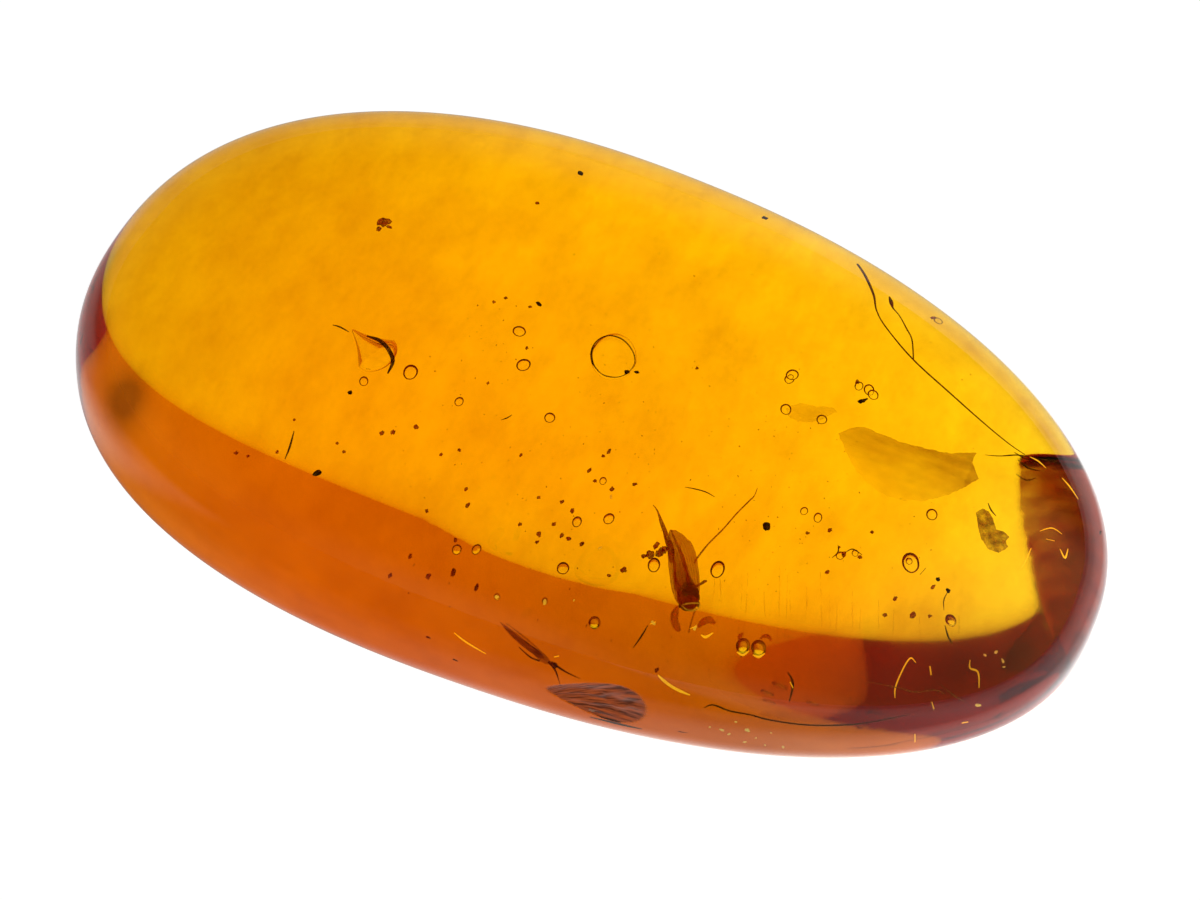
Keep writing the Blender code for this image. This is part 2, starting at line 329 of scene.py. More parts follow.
# the pebble's skin, in millimetres, as the solid has it
pebble = {
    "halfLength": 23.0,
    "halfWidth": 13.56,
    "dome": 8.23,
    "belly": 4.0,
    "planPower": 2.25,
    "domePower": 2.34,
    "bellyPower": 2.66,
    "widthTaper": -0.057,
    "sideBow": -0.033,
    "domeTaper": -0.164,
    "domeLean": 0.035,
    "bellyTaper": -0.3,
    "bellyLean": -0.022,
    "layDown": Matrix.Rotation(math.radians(3.0), 3, "Y") @ Matrix.Rotation(math.radians(-0.9), 3, "X"),
    "shift": Vector((-0.0022, 0.1288, -3.885)),
    "detail": 7,
    "ior": 1.54,
    # patches of the skin tinted to paint shade and reflections: pixel, reach in mm, strength
    "spots": {
        # painted shade: darker patches
        "painted_shade_patches": ((119, 405, 1.4, 1.0), (133, 392, 0.9, 0.6), (950, 672, 1.7, 0.8), (1000, 665, 1.9, 0.6),
                 (900, 690, 1.6, 0.35), (838, 672, 1.8, 0.3), (852, 690, 1.5, 0.25), (1040, 468, 0.6, 0.3)),
        # painted reflection: greyer, less red rims at the blunt end and low at the worn end
        "painted_rim_reflection": ((110, 255, 0.7, 0.5), (103, 268, 0.8, 0.7), (96, 288, 0.9, 0.9), (92, 308, 0.9, 0.9),
                 (90, 328, 0.9, 0.9), (89, 346, 0.8, 0.8), (850, 718, 1.1, 0.25), (900, 722, 1.3, 0.4),
                 (950, 716, 1.3, 0.5), (1000, 700, 1.3, 0.45), (1042, 672, 1.2, 0.35), (1070, 640, 1.1, 0.3)),
        # painted shade: a darker, redder back rim at the worn end
        "painted_rim_shade": ((860, 266, 0.8, 0.25), (887, 283, 0.8, 0.3), (917, 304, 0.8, 0.4), (945, 327, 0.8, 0.45),
                 (973, 350, 0.8, 0.5), (1000, 375, 0.8, 0.55), (1024, 401, 0.8, 0.6), (1045, 429, 0.8, 0.65),
                 (1059, 451, 0.8, 0.7)),
    },
}
# the worn facet under the thin end, and the chip in the near side
facet = {
    "centre": Vector((17.28, 3.45, 0.85)),
    "facing": Vector((
        math.sin(math.radians(28)) * math.cos(math.radians(29)),
        math.sin(math.radians(28)) * math.sin(math.radians(29)),
        -math.cos(math.radians(28)),
    )),
    "edge": (Vector((15.05, 5.63, 0)), Vector((17.17, 6.17, 0))),
    "soften": 0.3,  # width of its rounded edge
    "swirl": Vector((20.5, -1.5, 1.5)),
    "ripple": 0.005,
    # where the frosting starts along X, over how many mm it grows, and how strong it gets
    "frosted": (12.5, 4, 1.0),
    "bellyFrosted": (8, 4, 0.35),
}
chip = {
    "centre": Vector((5.95, -13.13, 4.58)),
    "halfLength": 2.1,
    "halfHeight": 0.98,
    "widening": 0.55,
    "depth": 0.18,
    "tip": (2.6, 0.6),
    "ribs": 30,
    "fan": (26, 0.9),
}


# none up to the start, then growing to its full strength
def grown(value, start, length, strength):
    return strength * min(max((value - start) / length, 0.0), 1.0)



# the egg: a point of the unit ball, pushed out to its own fullness above and below
def eggPoint(x, y, z):
    p, q = pebble["planPower"], pebble["domePower"] if z >= 0 else pebble["bellyPower"]
    reach = ((abs(x) ** p + abs(y) ** p) ** (q / p) + abs(z) ** q) ** (-1 / q)
    x, y, z = x * reach, y * reach, z * reach
    if z >= 0:
        height = pebble["dome"] * (1 + pebble["domeTaper"] * x + pebble["domeLean"] * y)
    else:
        height = pebble["belly"] * (1 + pebble["bellyTaper"] * x + pebble["bellyLean"] * y)
    width = y * (1 + pebble["widthTaper"] * x) + pebble["sideBow"] * (x * x - 0.3)
    egg = Vector((pebble["halfLength"] * x, pebble["halfWidth"] * width, height * z))
    return pebble["layDown"] @ egg - pebble["shift"]


# how deep in the chip a point lies: none on its rim, one in its middle
def chipShare(point):
    if point.y > 0:
        return 0.0
    along = (point.x - chip["centre"].x) / chip["halfLength"]
    rise = (point.z - chip["centre"].z) / (chip["halfHeight"] * (1 + chip["widening"] * along))
    return max(1 - along * along - rise * rise, 0.0) if abs(along) < 1 else 0.0


# a place as seen from the chip's pointed end, where its ribs meet
def chipFan(point):
    return point.x - chip["centre"].x + chip["tip"][0], point.z - chip["centre"].z + chip["tip"][1]


# the egg with its resting flat, facet and chip
def skinPoint(direction):
    point = eggPoint(*direction)
    point.z = max(point.z, 0.0)
    outside = (point - facet["centre"]).dot(facet["facing"])
    if outside > 0:
        start, end = facet["edge"]
        along = (end - start).normalized()
        across = Vector((-along.y, along.x, 0))
        past = (point - start).dot(across)
        share = min(max(0.5 - past / facet["soften"], 0.0), 1.0)
        point -= facet["facing"] * outside * share
        if share > 0.9:
            swirl = (point - facet["swirl"]).length
            ripple = math.sin(swirl * 7 + 2.5 * noise.noise(point * 0.9)) + 0.6 * noise.noise(point * 2.5)
            point -= facet["facing"] * facet["ripple"] * (1 + ripple)
    share = chipShare(point)
    if share > 0:
        along, rise = chipFan(point)
        ribs = math.sin(math.atan2(rise, along) * chip["ribs"] + 3 * noise.noise(point * 1.5))
        point.y += chip["depth"] * share * (1 + 0.25 * ribs) + 0.03 * share * noise.noise(point * 4)
    return point


def makeSkin():
    bm = bmesh.new()
    bmesh.ops.create_icosphere(bm, subdivisions=pebble["detail"], radius=1.0)
    bmesh.ops.recalc_face_normals(bm, faces=bm.faces)
    # finer faces at the chip
    near = [face for face in bm.faces if chipShare(eggPoint(*face.calc_center_median())) > 0]
    for _ in range(2):
        edges = {edge for face in near for edge in face.edges}
        made = bmesh.ops.subdivide_edges(bm, edges=list(edges), cuts=1, use_grid_fill=True)
        near = [item for item in made["geom"] if isinstance(item, bmesh.types.BMFace)]
    bmesh.ops.triangulate(bm, faces=[face for face in bm.faces if len(face.verts) > 3])
    for vert in bm.verts:
        vert.co = skinPoint(vert.co.normalized()) * mm
    for vert in bm.verts:
        vert.co = [min(max(value, low), high) for value, low, high in zip(vert.co, *cadBox)]
    bm.normal_update()
    return bm


skin = makeSkin()
skinTree = BVHTree.FromBMesh(skin)
print("skin:", len(skin.faces), "faces")


# where a pixel's ray enters the skin, its bent direction inside and how far it runs, in mm
def sight(x, y):
    ray = pixelRay(x, y)
    hit, normal, _, _ = skinTree.ray_cast(cameraMatrix.translation, ray)
    if hit is None:
        raise ValueError(f"nothing at pixel {x}, {y}")
    ratio = 1 / pebble["ior"]
    cosine = -normal.dot(ray)
    ray = ray * ratio + normal * (ratio * cosine - math.sqrt(1 - ratio * ratio * (1 - cosine * cosine)))
    _, _, _, length = skinTree.ray_cast(hit + ray * 1e-5, ray)
    return hit / mm, ray, length / mm


# the place inside that shows at a pixel, at a height in mm
def laid(x, y, height):
    start, ray, _ = sight(x, y)
    return start + ray * ((height - start.z) / ray.z)


# the place inside that shows at a pixel, a share of the way to the underside
def seen(x, y, share):
    start, ray, length = sight(x, y)
    return start + ray * length * share


# bubbles are hollows in the clear piece: pixel, share of the depth, radius in pixels
bubbles = {
    "pixelsPerMm": 24.4,
    "depth": (0.2, 0.55),  # share of the width, above and below the row
    "row": 600,
    "oval": 0.1,
    # film and rim: the thickness and look of the painted shade ring round each bubble
    "film": (0.11, 0.045),  # half its thickness as a share of the radius, and how much that varies
    "rim": {"scale": 5000, "dark": (0.1, 0.001, 0.0), "light": (0.35, 0.008, 0.0), "alpha": (0.9, 1.0),
            "relief": 0.005},
    "round": (
        (410.6, 372.3, 0.5, 6.5), (363.7, 381.3, 0.55, 4), (519.3, 331.5, 0.5, 5.5), (523.6, 365, 0.5, 6),
        (459, 402, 0.5, 4), (549.6, 418, 0.45, 4.7), (792.4, 374.8, 0.4, 5.6), (789.6, 379, 0.46, 4.8),
        (785.8, 409.4, 0.5, 5.2),
        (822, 419.6, 0.5, 4.8), (859, 386, 0.5, 4.2), (869, 390, 0.52, 5.2), (873, 395, 0.46, 5),
        (932, 514.7, 0.4, 5.2), (910.8, 563.2, 0.4, 8.2), (950.9, 620.6, 0.3, 5), (594.3, 623, 0.3, 5),
        (743, 646, 0.3, 6), (758.7, 648.4, 0.32, 6.4), (563, 568, 0.4, 5), (609, 518.5, 0.45, 4.6),
        (577, 522, 0.5, 4.2), (456.8, 549.6, 0.4, 4), (476.4, 549.6, 0.4, 4), (717.5, 570, 0.42, 6.5),
        (654, 565, 0.45, 5.5), (804, 511, 0.5, 3.5),
        (818, 518, 0.5, 4), (938, 321, 0.5, 4), (909, 561, 0.38, 3), (603, 481, 0.5, 3.2),
        (545, 601, 0.3, 2.6), (497, 597, 0.3, 2.6), (840, 556, 0.5, 3.6), (855, 553, 0.5, 3),
    ),
    # lens-shaped bubbles: place, half sizes in pixels, half thickness, how far one end runs out to a tail
    "flat": (
        {"at": (614, 356.5, 0.42), "radius": (23, 28), "thick": 1.6, "turn": 0.4},
        {"at": (376, 354, 0.45), "radius": (19, 21), "thick": 4.5, "tail": 1.0, "turn": math.radians(-26)},
    ),
}


# each bubble is a little oval, lies across the line of sight and has a turn of its own
def bubbleShape(index, x, y):
    turn = sight(x, y)[1].to_track_quat("Z", "Y").to_matrix() @ Matrix.Rotation(index, 3, "Z")
    return 1 + bubbles["oval"] * math.sin(index * 2.4), turn


def addBubbles(bm):
    scale = bubbles["pixelsPerMm"]
    for index, (x, y, share, radius) in enumerate(bubbles["round"]):
        size = radius / scale * mm
        stretch, turn = bubbleShape(index, x, y)
        sizes = (size * stretch, size / stretch, size * bubbles["depth"][y > bubbles["row"]])
        addBlob(bm, seen(x, y, share) * mm, sizes, turn.to_4x4(), detail=4 if radius > 4.5 else 3, rough=0.04,
                seed=index, inside=True)
    for flat in bubbles["flat"]:
        centre = seen(*flat["at"]) * mm
        made = bmesh.ops.create_icosphere(bm, subdivisions=5, radius=1.0)["verts"]
        for vert in made:
            out = math.hypot(vert.co.x, vert.co.y)
            wave = 1 + 0.05 * noise.noise(Vector((vert.co.x, vert.co.y, 0)) * 1.5)
            height = math.copysign(max(1 - out ** 4, 0.0) ** 0.5, vert.co.z) if abs(vert.co.z) > 1e-6 else 0.0
            tail = flat.get("tail", 0.0) * max(-vert.co.x, 0.0)
            local = Vector((
                vert.co.x * (1 + tail) * flat["radius"][0] * wave,
                vert.co.y * (1 - 0.75 * min(tail, 1)) * flat["radius"][1] * wave,
                height * (1 - 0.5 * min(tail, 1)) * flat["thick"],
            ))
            vert.co = centre + Matrix.Rotation(flat["turn"], 3, "Z") @ local * mm / scale
        bmesh.ops.reverse_faces(bm, faces=list({face for vert in made for face in vert.link_faces}))


# each bubble's widest part has a thin dark ring of painted shade
def makeBubbleShadeRings():
    bm = bmesh.new()
    sides = 22
    film, uneven = bubbles["film"]
    for index, (x, y, share, radius) in enumerate(bubbles["round"]):
        size = radius / bubbles["pixelsPerMm"]
        stretch, turn = bubbleShape(index, x, y)
        points = []
        for step in range(sides + 1):
            angle = 2 * math.pi * step / sides
            wobble = 1 + 0.05 * noise.noise(Vector((math.cos(angle), math.sin(angle), index)) * 1.4)
            local = Vector((math.cos(angle) * size * stretch, math.sin(angle) * size / stretch, 0)) * wobble
            thin = film + uneven * math.sin(angle + index)
            points.append((*(seen(x, y, share) + turn @ local) * mm, size * thin * mm))
        addTube(bm, points)
    settle(addObject("painted_bubble_shade_rings", bm, sealedMaterial("painted_bubble_shade_ring", bubbles["rim"])), "insect_brown")


# the clear resin: colours, where each tint lies in mm along X and Y, and what it absorbs
resin = {
    "clear": (1.0, 0.95, 0.3),
    "cloud": (0.84, 0.7, 0.2),
    "streak": (0.9, 0.86, 0.82),
    "tints": (
        ((0.74, 0.64, 0.5), (-4, -22), (-11, -6)),  # browner thick end
        ((0.98, 0.74, 0.55), (-18, -6), (2, -9)),  # warmer front
        ((0.37, 0.6, 0.38), (-12, 18), (-7, -12)),  # darker low corner
    ),
    # multipliers for the painted shade and painted reflection patches on the skin
    "spots": {"painted_shade_patches": (0.22, 0.2, 0.18), "painted_rim_reflection": (0.45, 1.0, 1.0), "painted_rim_shade": (0.45, 0.25, 0.6)},
    # the chip's painted shade and painted reflection streaks: darkest and palest
    "chip": ((0.012, 0.006, 0.008), (0.24, 0.13, 0.12)),
    "chipRoughness": 0.35,
    "wornRoughness": (0.12, 0.1),  # least, and how much the grain adds
    "absorbs": (0.955, 0.845, 0.0, 1.0),
    "density": 500,
}


def amberMaterial():
    material, shader = newMaterial("amber")
    tree = material.node_tree
    x, y, _ = axesOf(tree, "Object")
    clouds = addMottle(tree, 330, resin["cloud"], resin["clear"], stretch=(1, 0.8, 1), low=0.3, high=0.62)
    streaks = addMottle(tree, 800, resin["streak"], stretch=(1.3, 0.7, 1), low=0.3, high=0.55)
    colour = tinted(clouds["Color"], attribute(tree, "skin"), streaks["Color"])
    for tint, alongX, alongY in resin["tints"]:
        reach = [spread(axis, start * mm, end * mm) for axis, (start, end) in ((x, alongX), (y, alongY))]
        colour = tinted(colour, combine("MULTIPLY", *reach), tint)
    # the spots paint shade and reflections into the skin's colour
    for name, tint in resin["spots"].items():
        colour = tinted(colour, attribute(tree, name), tint)
    # the chip's ribs, painted as dark shade with pale reflection streaks
    fan = addNode(tree, "ShaderNodeAttribute", attribute_name="fan").outputs["Vector"]
    ribs = addNode(tree, "ShaderNodeTexNoise", {"Vector": fan, "Scale": 1.0}, noise_dimensions="2D").outputs["Fac"]
    level = addNode(tree, "ShaderNodeMapRange", {"Value": ribs, "From Min": 0.35, "From Max": 0.75}).outputs["Result"]
    dark, light = [(*shade, 1) for shade in resin["chip"]]
    chipShadeAndReflection = addNode(tree, "ShaderNodeMix", {0: level, 6: dark, 7: light}, data_type="RGBA").outputs[2]
    colour = tinted(colour, attribute(tree, "chip"), chipShadeAndReflection, "MIX")
    colour = tinted(colour, attribute(tree, "hollow"), (1.0, 1.0, 1.0), "MIX")
    # worn places are a little frosted
    grain = addMottle(tree, 500, stretch=(1, 2, 1), low=0.3, high=0.7)["Mask"]
    least, more = resin["wornRoughness"]
    frost = addNode(tree, "ShaderNodeMath", {0: grain, 1: more, 2: least}, operation="MULTIPLY_ADD").outputs["Value"]
    frost = combine("MULTIPLY", attribute(tree, "worn"), frost)
    scuff = combine("MULTIPLY", attribute(tree, "chip"), resin["chipRoughness"])
    feed(shader, {
        "Base Color": colour,
        "Roughness": combine("MAXIMUM", frost, scuff),
        "Transmission Weight": 1.0,
        "IOR": pebble["ior"],
        "Metallic": 0.0,
    })
    absorb = addNode(tree, "ShaderNodeVolumeAbsorption", {"Color": resin["absorbs"], "Density": resin["density"]})
    feed(tree.nodes["Material Output"], {"Volume": absorb.outputs["Volume"]})
    return material


# marks the skin for its material, then sinks the bubbles into it
def finishAmber(bm):
    layers = {name: bm.verts.layers.float.new(name) for name in ("worn", "chip", "skin", *pebble["spots"])}
    spots = {
        name: [(sight(x, y)[0], reach, strength) for x, y, reach, strength in places]
        for name, places in pebble["spots"].items()
    }
    hollow = bm.verts.layers.float.new("hollow")
    fan = bm.verts.layers.float_vector.new("fan")
    for vert in bm.verts:
        point = vert.co / mm
        share = chipShare(point)
        vert[layers["skin"]] = 1.0
        for name, places in spots.items():
            near = [strength * math.exp(-((point - spot).length / reach) ** 2) for spot, reach, strength in places]
            vert[layers[name]] = min(sum(near), 1.0)
        vert[layers["chip"]] = min(share * 12, 1.0)
        if share > 0:
            along, rise = chipFan(point)
            around, outwards = chip["fan"]
            vert[fan] = (math.atan2(rise, along) * around, math.hypot(along, rise) * outwards, 0)
        if abs((point - facet["centre"]).dot(facet["facing"])) < 0.05:  # on the facet
            vert[layers["worn"]] = grown(point.x, *facet["frosted"])
        elif point.z < 1.5:  # on the belly, more towards the thin end
            vert[layers["worn"]] = grown(point.x, *facet["bellyFrosted"])
    count = len(bm.verts)
    addBubbles(bm)
    bm.verts.ensure_lookup_table()
    for vert in bm.verts[count:]:
        vert[hollow] = 1.0
    obj = addObject("amber", bm, amberMaterial())
    settle(obj, "amber", "amber_lower", "amber_upper")
    print("amber:", len(obj.data.polygons), "faces")


finishAmber(skin)


# the main insect, in its own frame: head at -X, back up, millimetres
insect = {
    "place": Matrix.Translation(Vector((6.75, -6.08, 4.8))) @ Matrix.Rotation(math.radians(124), 4, "Z"),
    "height": 4.8,
    # pixels of the closed wings' left and right edge from shoulder to tip, and the share where they meet
    "wingEdges": ((683, 609, 694, 609.5, 0.5), (677.5, 603, 698.5, 603, 0.55), (673, 594, 699.5, 594, 0.6),
                  (670.3, 582, 699.8, 582, 0.6), (668.5, 568, 698.5, 568, 0.55), (667.5, 554, 696, 554, 0.45),
                  (667.3, 543, 691.5, 543, 0.36), (668.5, 534, 683, 534.5, 0.28), (670, 529.5, 675.5, 530, 0.2)),
    # pixels along the body with its radius in mm
    "body": ((673, 541, 0.04), (675, 552, 0.1), (679, 566, 0.17), (684, 580, 0.26), (687, 591, 0.4),
             (689, 600, 0.42), (690, 607, 0.24)),
    # pixels along the tail and the feeler with their radius in mm
    "tail": ((672, 562, 0.1), (670, 548, 0.13), (667, 538, 0.11), (663.5, 527, 0.07), (660, 517, 0.05),
             (656.5, 510, 0.028), (653, 505, 0.012)),
    "tailHair": ((667, 540, 0.03), (661, 526, 0.02), (659, 519, 0.012)),
    "feeler": ((694, 563, 0.03), (698.6, 556, 0.04), (709, 543, 0.034), (723, 529, 0.032), (736, 514, 0.03),
               (748, 502, 0.03), (754, 496, 0.022), (757.5, 488, 0.012)),
    "claw": ((696, 586, 0.04), (701, 584, 0.05), (704, 582, 0.06), (707, 580.5, 0.03)),
    "eyes": ((698, 603.5), (680.5, 605.5)),
    # the folded legs from hip to foot, as places along and beside the body, then the height and radius of each place
    "legs": (((-1.1, 0.18), (-0.95, 0.34), (-0.55, 0.34), (-0.2, 0.24)),
             ((-0.7, 0.2), (-0.45, 0.38), (0.1, 0.34), (0.5, 0.22)),
             ((-0.4, 0.2), (-0.1, 0.36), (0.7, 0.3), (1.2, 0.18))),
    "legRow": ((-0.3, 0.05), (-0.45, 0.06), (-0.47, 0.035), (-0.47, 0.02)),
    "shell": {"scale": 2000, "dark": (0.12, 0.012, 0.003), "light": (0.2, 0.02, 0.005), "alpha": (0.6, 0.8),
              "roughness": 0.35, "fade": "body"},
    "wing": {"scale": 3000, "dark": (0.5, 0.06, 0.01), "light": (0.75, 0.11, 0.015), "alpha": (0.4, 0.5),
             "roughness": 0.3, "stretch": (0.5, 2, 2)},
    "filament": {"scale": 6000, "dark": (0.25, 0.03, 0.004), "light": (0.5, 0.07, 0.01), "alpha": (0.5, 0.75)},
}


# a place in the insect's own frame that shows at a pixel
def bugPoint(x, y, lift):
    return insect["place"].inverted() @ laid(x, y, insect["height"] + lift)


wingRows = smoothPath(insect["wingEdges"], 5)


# a folded wing: u runs from the shoulder to the tip, v from the outer edge to the inner one
def wingPoint(side, u, v):
    place = u * (len(wingRows) - 1)
    low = min(int(place), len(wingRows) - 2)
    row = [a + (b - a) * (place - low) for a, b in zip(wingRows[low], wingRows[low + 1])]
    left, right, seam = Vector(row[0:2]), Vector(row[2:4]), row[4]
    across = v * (seam + 0.06) if side > 0 else 1 - v * (1 - seam + 0.04)
    pixel = left.lerp(right, across)
    roof = 0.08 + 0.3 * (1 - abs(2 * across - 1) ** 2.4) - 0.08 * u
    rib = 0.01 * math.sin(v * 16 + u * 3)
    return bugPoint(pixel.x, pixel.y, roof + rib + (0.0 if side > 0 else 0.03))


def addWing(bm, side):
    rows, columns = 26, 12
    grid = [[bm.verts.new(wingPoint(side, u / rows, v / columns)) for v in range(columns + 1)]
            for u in range(rows + 1)]
    faces = []
    for u in range(rows):
        for v in range(columns):
            corners = (grid[u][v], grid[u + 1][v], grid[u + 1][v + 1], grid[u][v + 1])
            faces.append(bm.faces.new(corners if side > 0 else corners[::-1]))
    bmesh.ops.recalc_face_normals(bm, faces=faces)
    bmesh.ops.solidify(bm, geom=faces, thickness=0.012)


def makeInsect():
    bm = bmesh.new()
    line = [(*bugPoint(x, y, 0.0), radius) for x, y, radius in insect["body"]]
    # the body is ringed by its segments
    line = [
        (x, y, z, radius * (1 - 0.08 * abs(math.sin(index * 0.55)) ** 5))
        for index, (x, y, z, radius) in enumerate(smoothPath(line, 9))
    ]
    addTube(bm, line, sides=24)
    addBlob(bm, bugPoint(689, 604, 0.0), (0.24, 0.36, 0.26), detail=4, rough=0.05, seed=5)
    for x, y in insect["eyes"]:
        addBlob(bm, bugPoint(x, y, 0.05), (0.1, 0.08, 0.1), detail=3, rough=0.05, seed=7)
    # the abdomen's end lets more light through
    fade = bm.verts.layers.float.new("body")
    for vert in bm.verts:
        vert[fade] = min(max(0.6 - 0.4 * vert.co.x, 0.2), 1.1)
    body = addObject("insect_body", bm, sealedMaterial("insect_shell", insect["shell"]))

    bm = bmesh.new()
    for side in (-1, 1):
        addWing(bm, side)
        # veins fan from the shoulder
        for vein in range(5):
            line = []
            for step in range(15):
                u = 0.04 + 0.92 * step / 14
                v = 0.12 + 0.19 * vein + 0.06 * math.sin(u * 2.4 + vein)
                point = wingPoint(side, u, min(v, 0.97))
                line.append((point.x, point.y, point.z + 0.006, 0.01 * (1 - 0.6 * u)))
            addTube(bm, line, sides=5, materialIndex=1)
    filament = sealedMaterial("insect_filament", insect["filament"])
    wings = addObject("insect_wings", bm, sealedMaterial("insect_wing", insect["wing"]), filament)

    bm = bmesh.new()
    strands = [
        [(*bugPoint(x, y, 0.0), radius) for x, y, radius in insect[name]]
        for name in ("tail", "tailHair", "feeler", "claw")
    ]
    for side in (1, -1):
        for leg in insect["legs"]:
            strand = [(x, side * beside * 0.7, *row) for (x, beside), row in zip(leg, insect["legRow"])]
            x, beside = leg[-1]
            strands.append([*strand, (x + 0.25, side * beside * 0.8, -0.46, 0.016)])
    for strand in strands:
        addTube(bm, smoothPath(strand, 5), sides=8)
    limbs = addObject("insect_limbs", bm, filament)
    for obj in (body, wings, limbs):
        obj.data.transform(Matrix.Scale(mm, 4) @ insect["place"])
        settle(obj, "insect_brown")
    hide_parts("insect")
    print("insect:", sum(len(obj.data.polygons) for obj in (body, wings, limbs)), "faces")


makeInsect()


# the slender gnat, in its own frame: head at +X
gnat = {
    "place": Matrix.Translation(Vector((2.45, -11.18, 4.8))) @ Matrix.Rotation(math.radians(-26), 4, "Z"),
    "shell": {"scale": 5000, "dark": (0.3, 0.025, 0.004), "light": (0.5, 0.06, 0.008), "alpha": (0.35, 0.5),
              "roughness": 0.35},
    "limb": {"scale": 6000, "dark": (0.05, 0.004, 0.001), "light": (0.25, 0.02, 0.004), "alpha": (0.7, 0.95),
             "roughness": 0.4},
    "wing": {"scale": 4000, "dark": (0.3, 0.03, 0.005), "light": (0.5, 0.07, 0.01), "alpha": (0.3, 0.45),
             "relief": 0.005, "roughness": 0.3, "stretch": (0.5, 2, 2)},
    # chest, head and neck: middle, half sizes, detail, roughness, seed, material
    "lumps": (((0.8, 0, 0.03), (0.45, 0.16, 0.16), 3, 0.08, 1, 0),
              ((1.46, 0.07, 0.02), (0.13, 0.12, 0.12), 3, 0.06, 2, 1),
              ((1.24, 0.03, 0.02), (0.1, 0.08, 0.08), 2, 0.0, 3, 0)),
    # x, y, z and radius along each leg
    "legs": (((1.15, 0.05, 0, 0.05), (1.6, -0.08, 0, 0.045), (2.0, -0.32, 0, 0.03), (2.45, -0.67, 0, 0.012)),
             ((1.25, 0.12, 0, 0.05), (1.75, 0.14, 0, 0.04), (2.2, 0.2, 0, 0.03), (2.66, 0.33, 0, 0.012)),
             ((0.8, -0.12, -0.1, 0.035), (0.4, -0.24, -0.12, 0.03), (-0.3, -0.2, -0.12, 0.015)),
             ((0.8, 0.12, -0.1, 0.035), (0.35, 0.24, -0.12, 0.03), (-0.4, 0.18, -0.12, 0.015))),
}


def makeGnat():
    bm = bmesh.new()
    # the ringed abdomen, about X
    steps, sides = 40, 16
    rings = []
    for step in range(steps + 1):
        t = step / steps
        ring = 1 - 0.1 * abs(math.sin(t * math.pi * 8)) ** 5
        radius = max(0.13 * math.sin(math.pi * (0.02 + 0.75 * t)) ** 0.8 * ring, 0.006)
        rings.append([
            bm.verts.new((-1.62 + 2.4 * t, radius * math.cos(angle), radius * 0.85 * math.sin(angle)))
            for angle in (2 * math.pi * k / sides for k in range(sides))
        ])
    closeRings(bm, rings)
    for middle, sizes, detail, rough, seed, index in gnat["lumps"]:
        addBlob(bm, middle, sizes, detail=detail, rough=rough, seed=seed, materialIndex=index)
    for leg in gnat["legs"]:
        addTube(bm, smoothPath(leg, 5), sides=8, materialIndex=1)
    body = addObject("gnat_body", bm, *(sealedMaterial("gnat_" + name, gnat[name]) for name in ("shell", "limb")))
    # two narrow wings folded over the back
    bm = bmesh.new()
    rows = 20
    for side in (1, -1):
        grid = []
        for step in range(rows + 1):
            u = step / rows
            half = 0.08 * math.sin(math.pi * min(0.08 + 0.9 * u, 1)) ** 0.6
            x = 0.85 - 2.2 * u
            grid.append([
                bm.verts.new((x, side * (0.05 + half * v * 2), 0.19 - 0.1 * v * v - 0.05 * u + 0.01 * side))
                for v in (0, 0.25, 0.5, 0.75, 1)
            ])
        faces = [
            bm.faces.new((a[k], b[k], b[k + 1], a[k + 1]))
            for a, b in zip(grid, grid[1:]) for k in range(4)
        ]
        bmesh.ops.recalc_face_normals(bm, faces=faces)
        bmesh.ops.solidify(bm, geom=faces, thickness=0.01)
    wings = addObject("gnat_wings", bm, sealedMaterial("gnat_wing", gnat["wing"]))
    for obj in (body, wings):
        obj.data.transform(Matrix.Scale(mm, 4) @ gnat["place"])
        settle(obj, "gnat_brown")
    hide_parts("gnat")


makeGnat()
print("gnat made")


# torn flakes, each with the pixels of its outline
leaf = {
    "place": Vector((13.0, 2.07, 4.8)),
    "tilt": (math.radians(2.5), math.radians(-2.0)),
    "pixels": ((838, 432), (850, 427), (864, 426.5), (880, 433), (900, 442), (927, 449), (950, 454), (976, 454),
               (972.5, 463), (979, 480), (965, 487), (945, 496), (925, 500), (905, 500), (885, 494), (868, 481),
               (856, 470), (846, 450)),
    "thick": 0.035,
    "ragged": 0.06,
    "wave": 0.03,
    "look": {"scale": 1400, "dark": (0.38, 0.06, 0.008), "light": (0.5, 0.1, 0.012), "alpha": (0.2, 0.34),
             "relief": 0.03, "roughness": 0.6, "stretch": (0.6, 1.6, 1), "fade": "body"},
}
bark = {
    "place": Vector((17.35, 0.27, 4.8)),
    "tilt": (math.radians(-6), math.radians(5)),
    "pixels": ((976, 514), (983, 509.5), (989, 512), (993, 519), (996, 530), (1002, 532), (1009, 537), (1005, 541),
               (1008, 547), (998, 553.5), (988, 549.5), (981, 540), (978, 527)),
    "thick": 0.1,
    "ragged": 0.05,
    "wave": 0.03,
    "look": {"scale": 5000, "dark": (0.15, 0.02, 0.004), "light": (0.5, 0.14, 0.02), "alpha": (0.25, 0.75),
             "relief": 0.05, "roughness": 0.7, "fade": "body"},
}
scrap = dict(
    leaf,
    pixels=((786, 407), (800, 403), (815, 406), (832, 408), (837, 412), (825, 418), (812, 422), (798, 421), (789, 415)),
    look=dict(leaf["look"], alpha=(0.07, 0.16)),
    place=laid(811, 413, 4.8),
)


# the outline with a torn edge
def raggedOutline(outline, ragged):
    step = 0.08
    points = []
    count = len(outline)
    for index in range(count):
        a, b = Vector(outline[index]), Vector(outline[(index + 1) % count])
        parts = max(int((b - a).length / step), 1)
        across = Vector((b.y - a.y, a.x - b.x)).normalized()
        for part in range(parts):
            point = a.lerp(b, part / parts)
            jag = noise.noise(Vector((point.x, point.y, 0)) * 3) + 0.5 * noise.noise(Vector((point.x, point.y, 7)) * 9)
            points.append(point + across * jag * ragged)
    return points


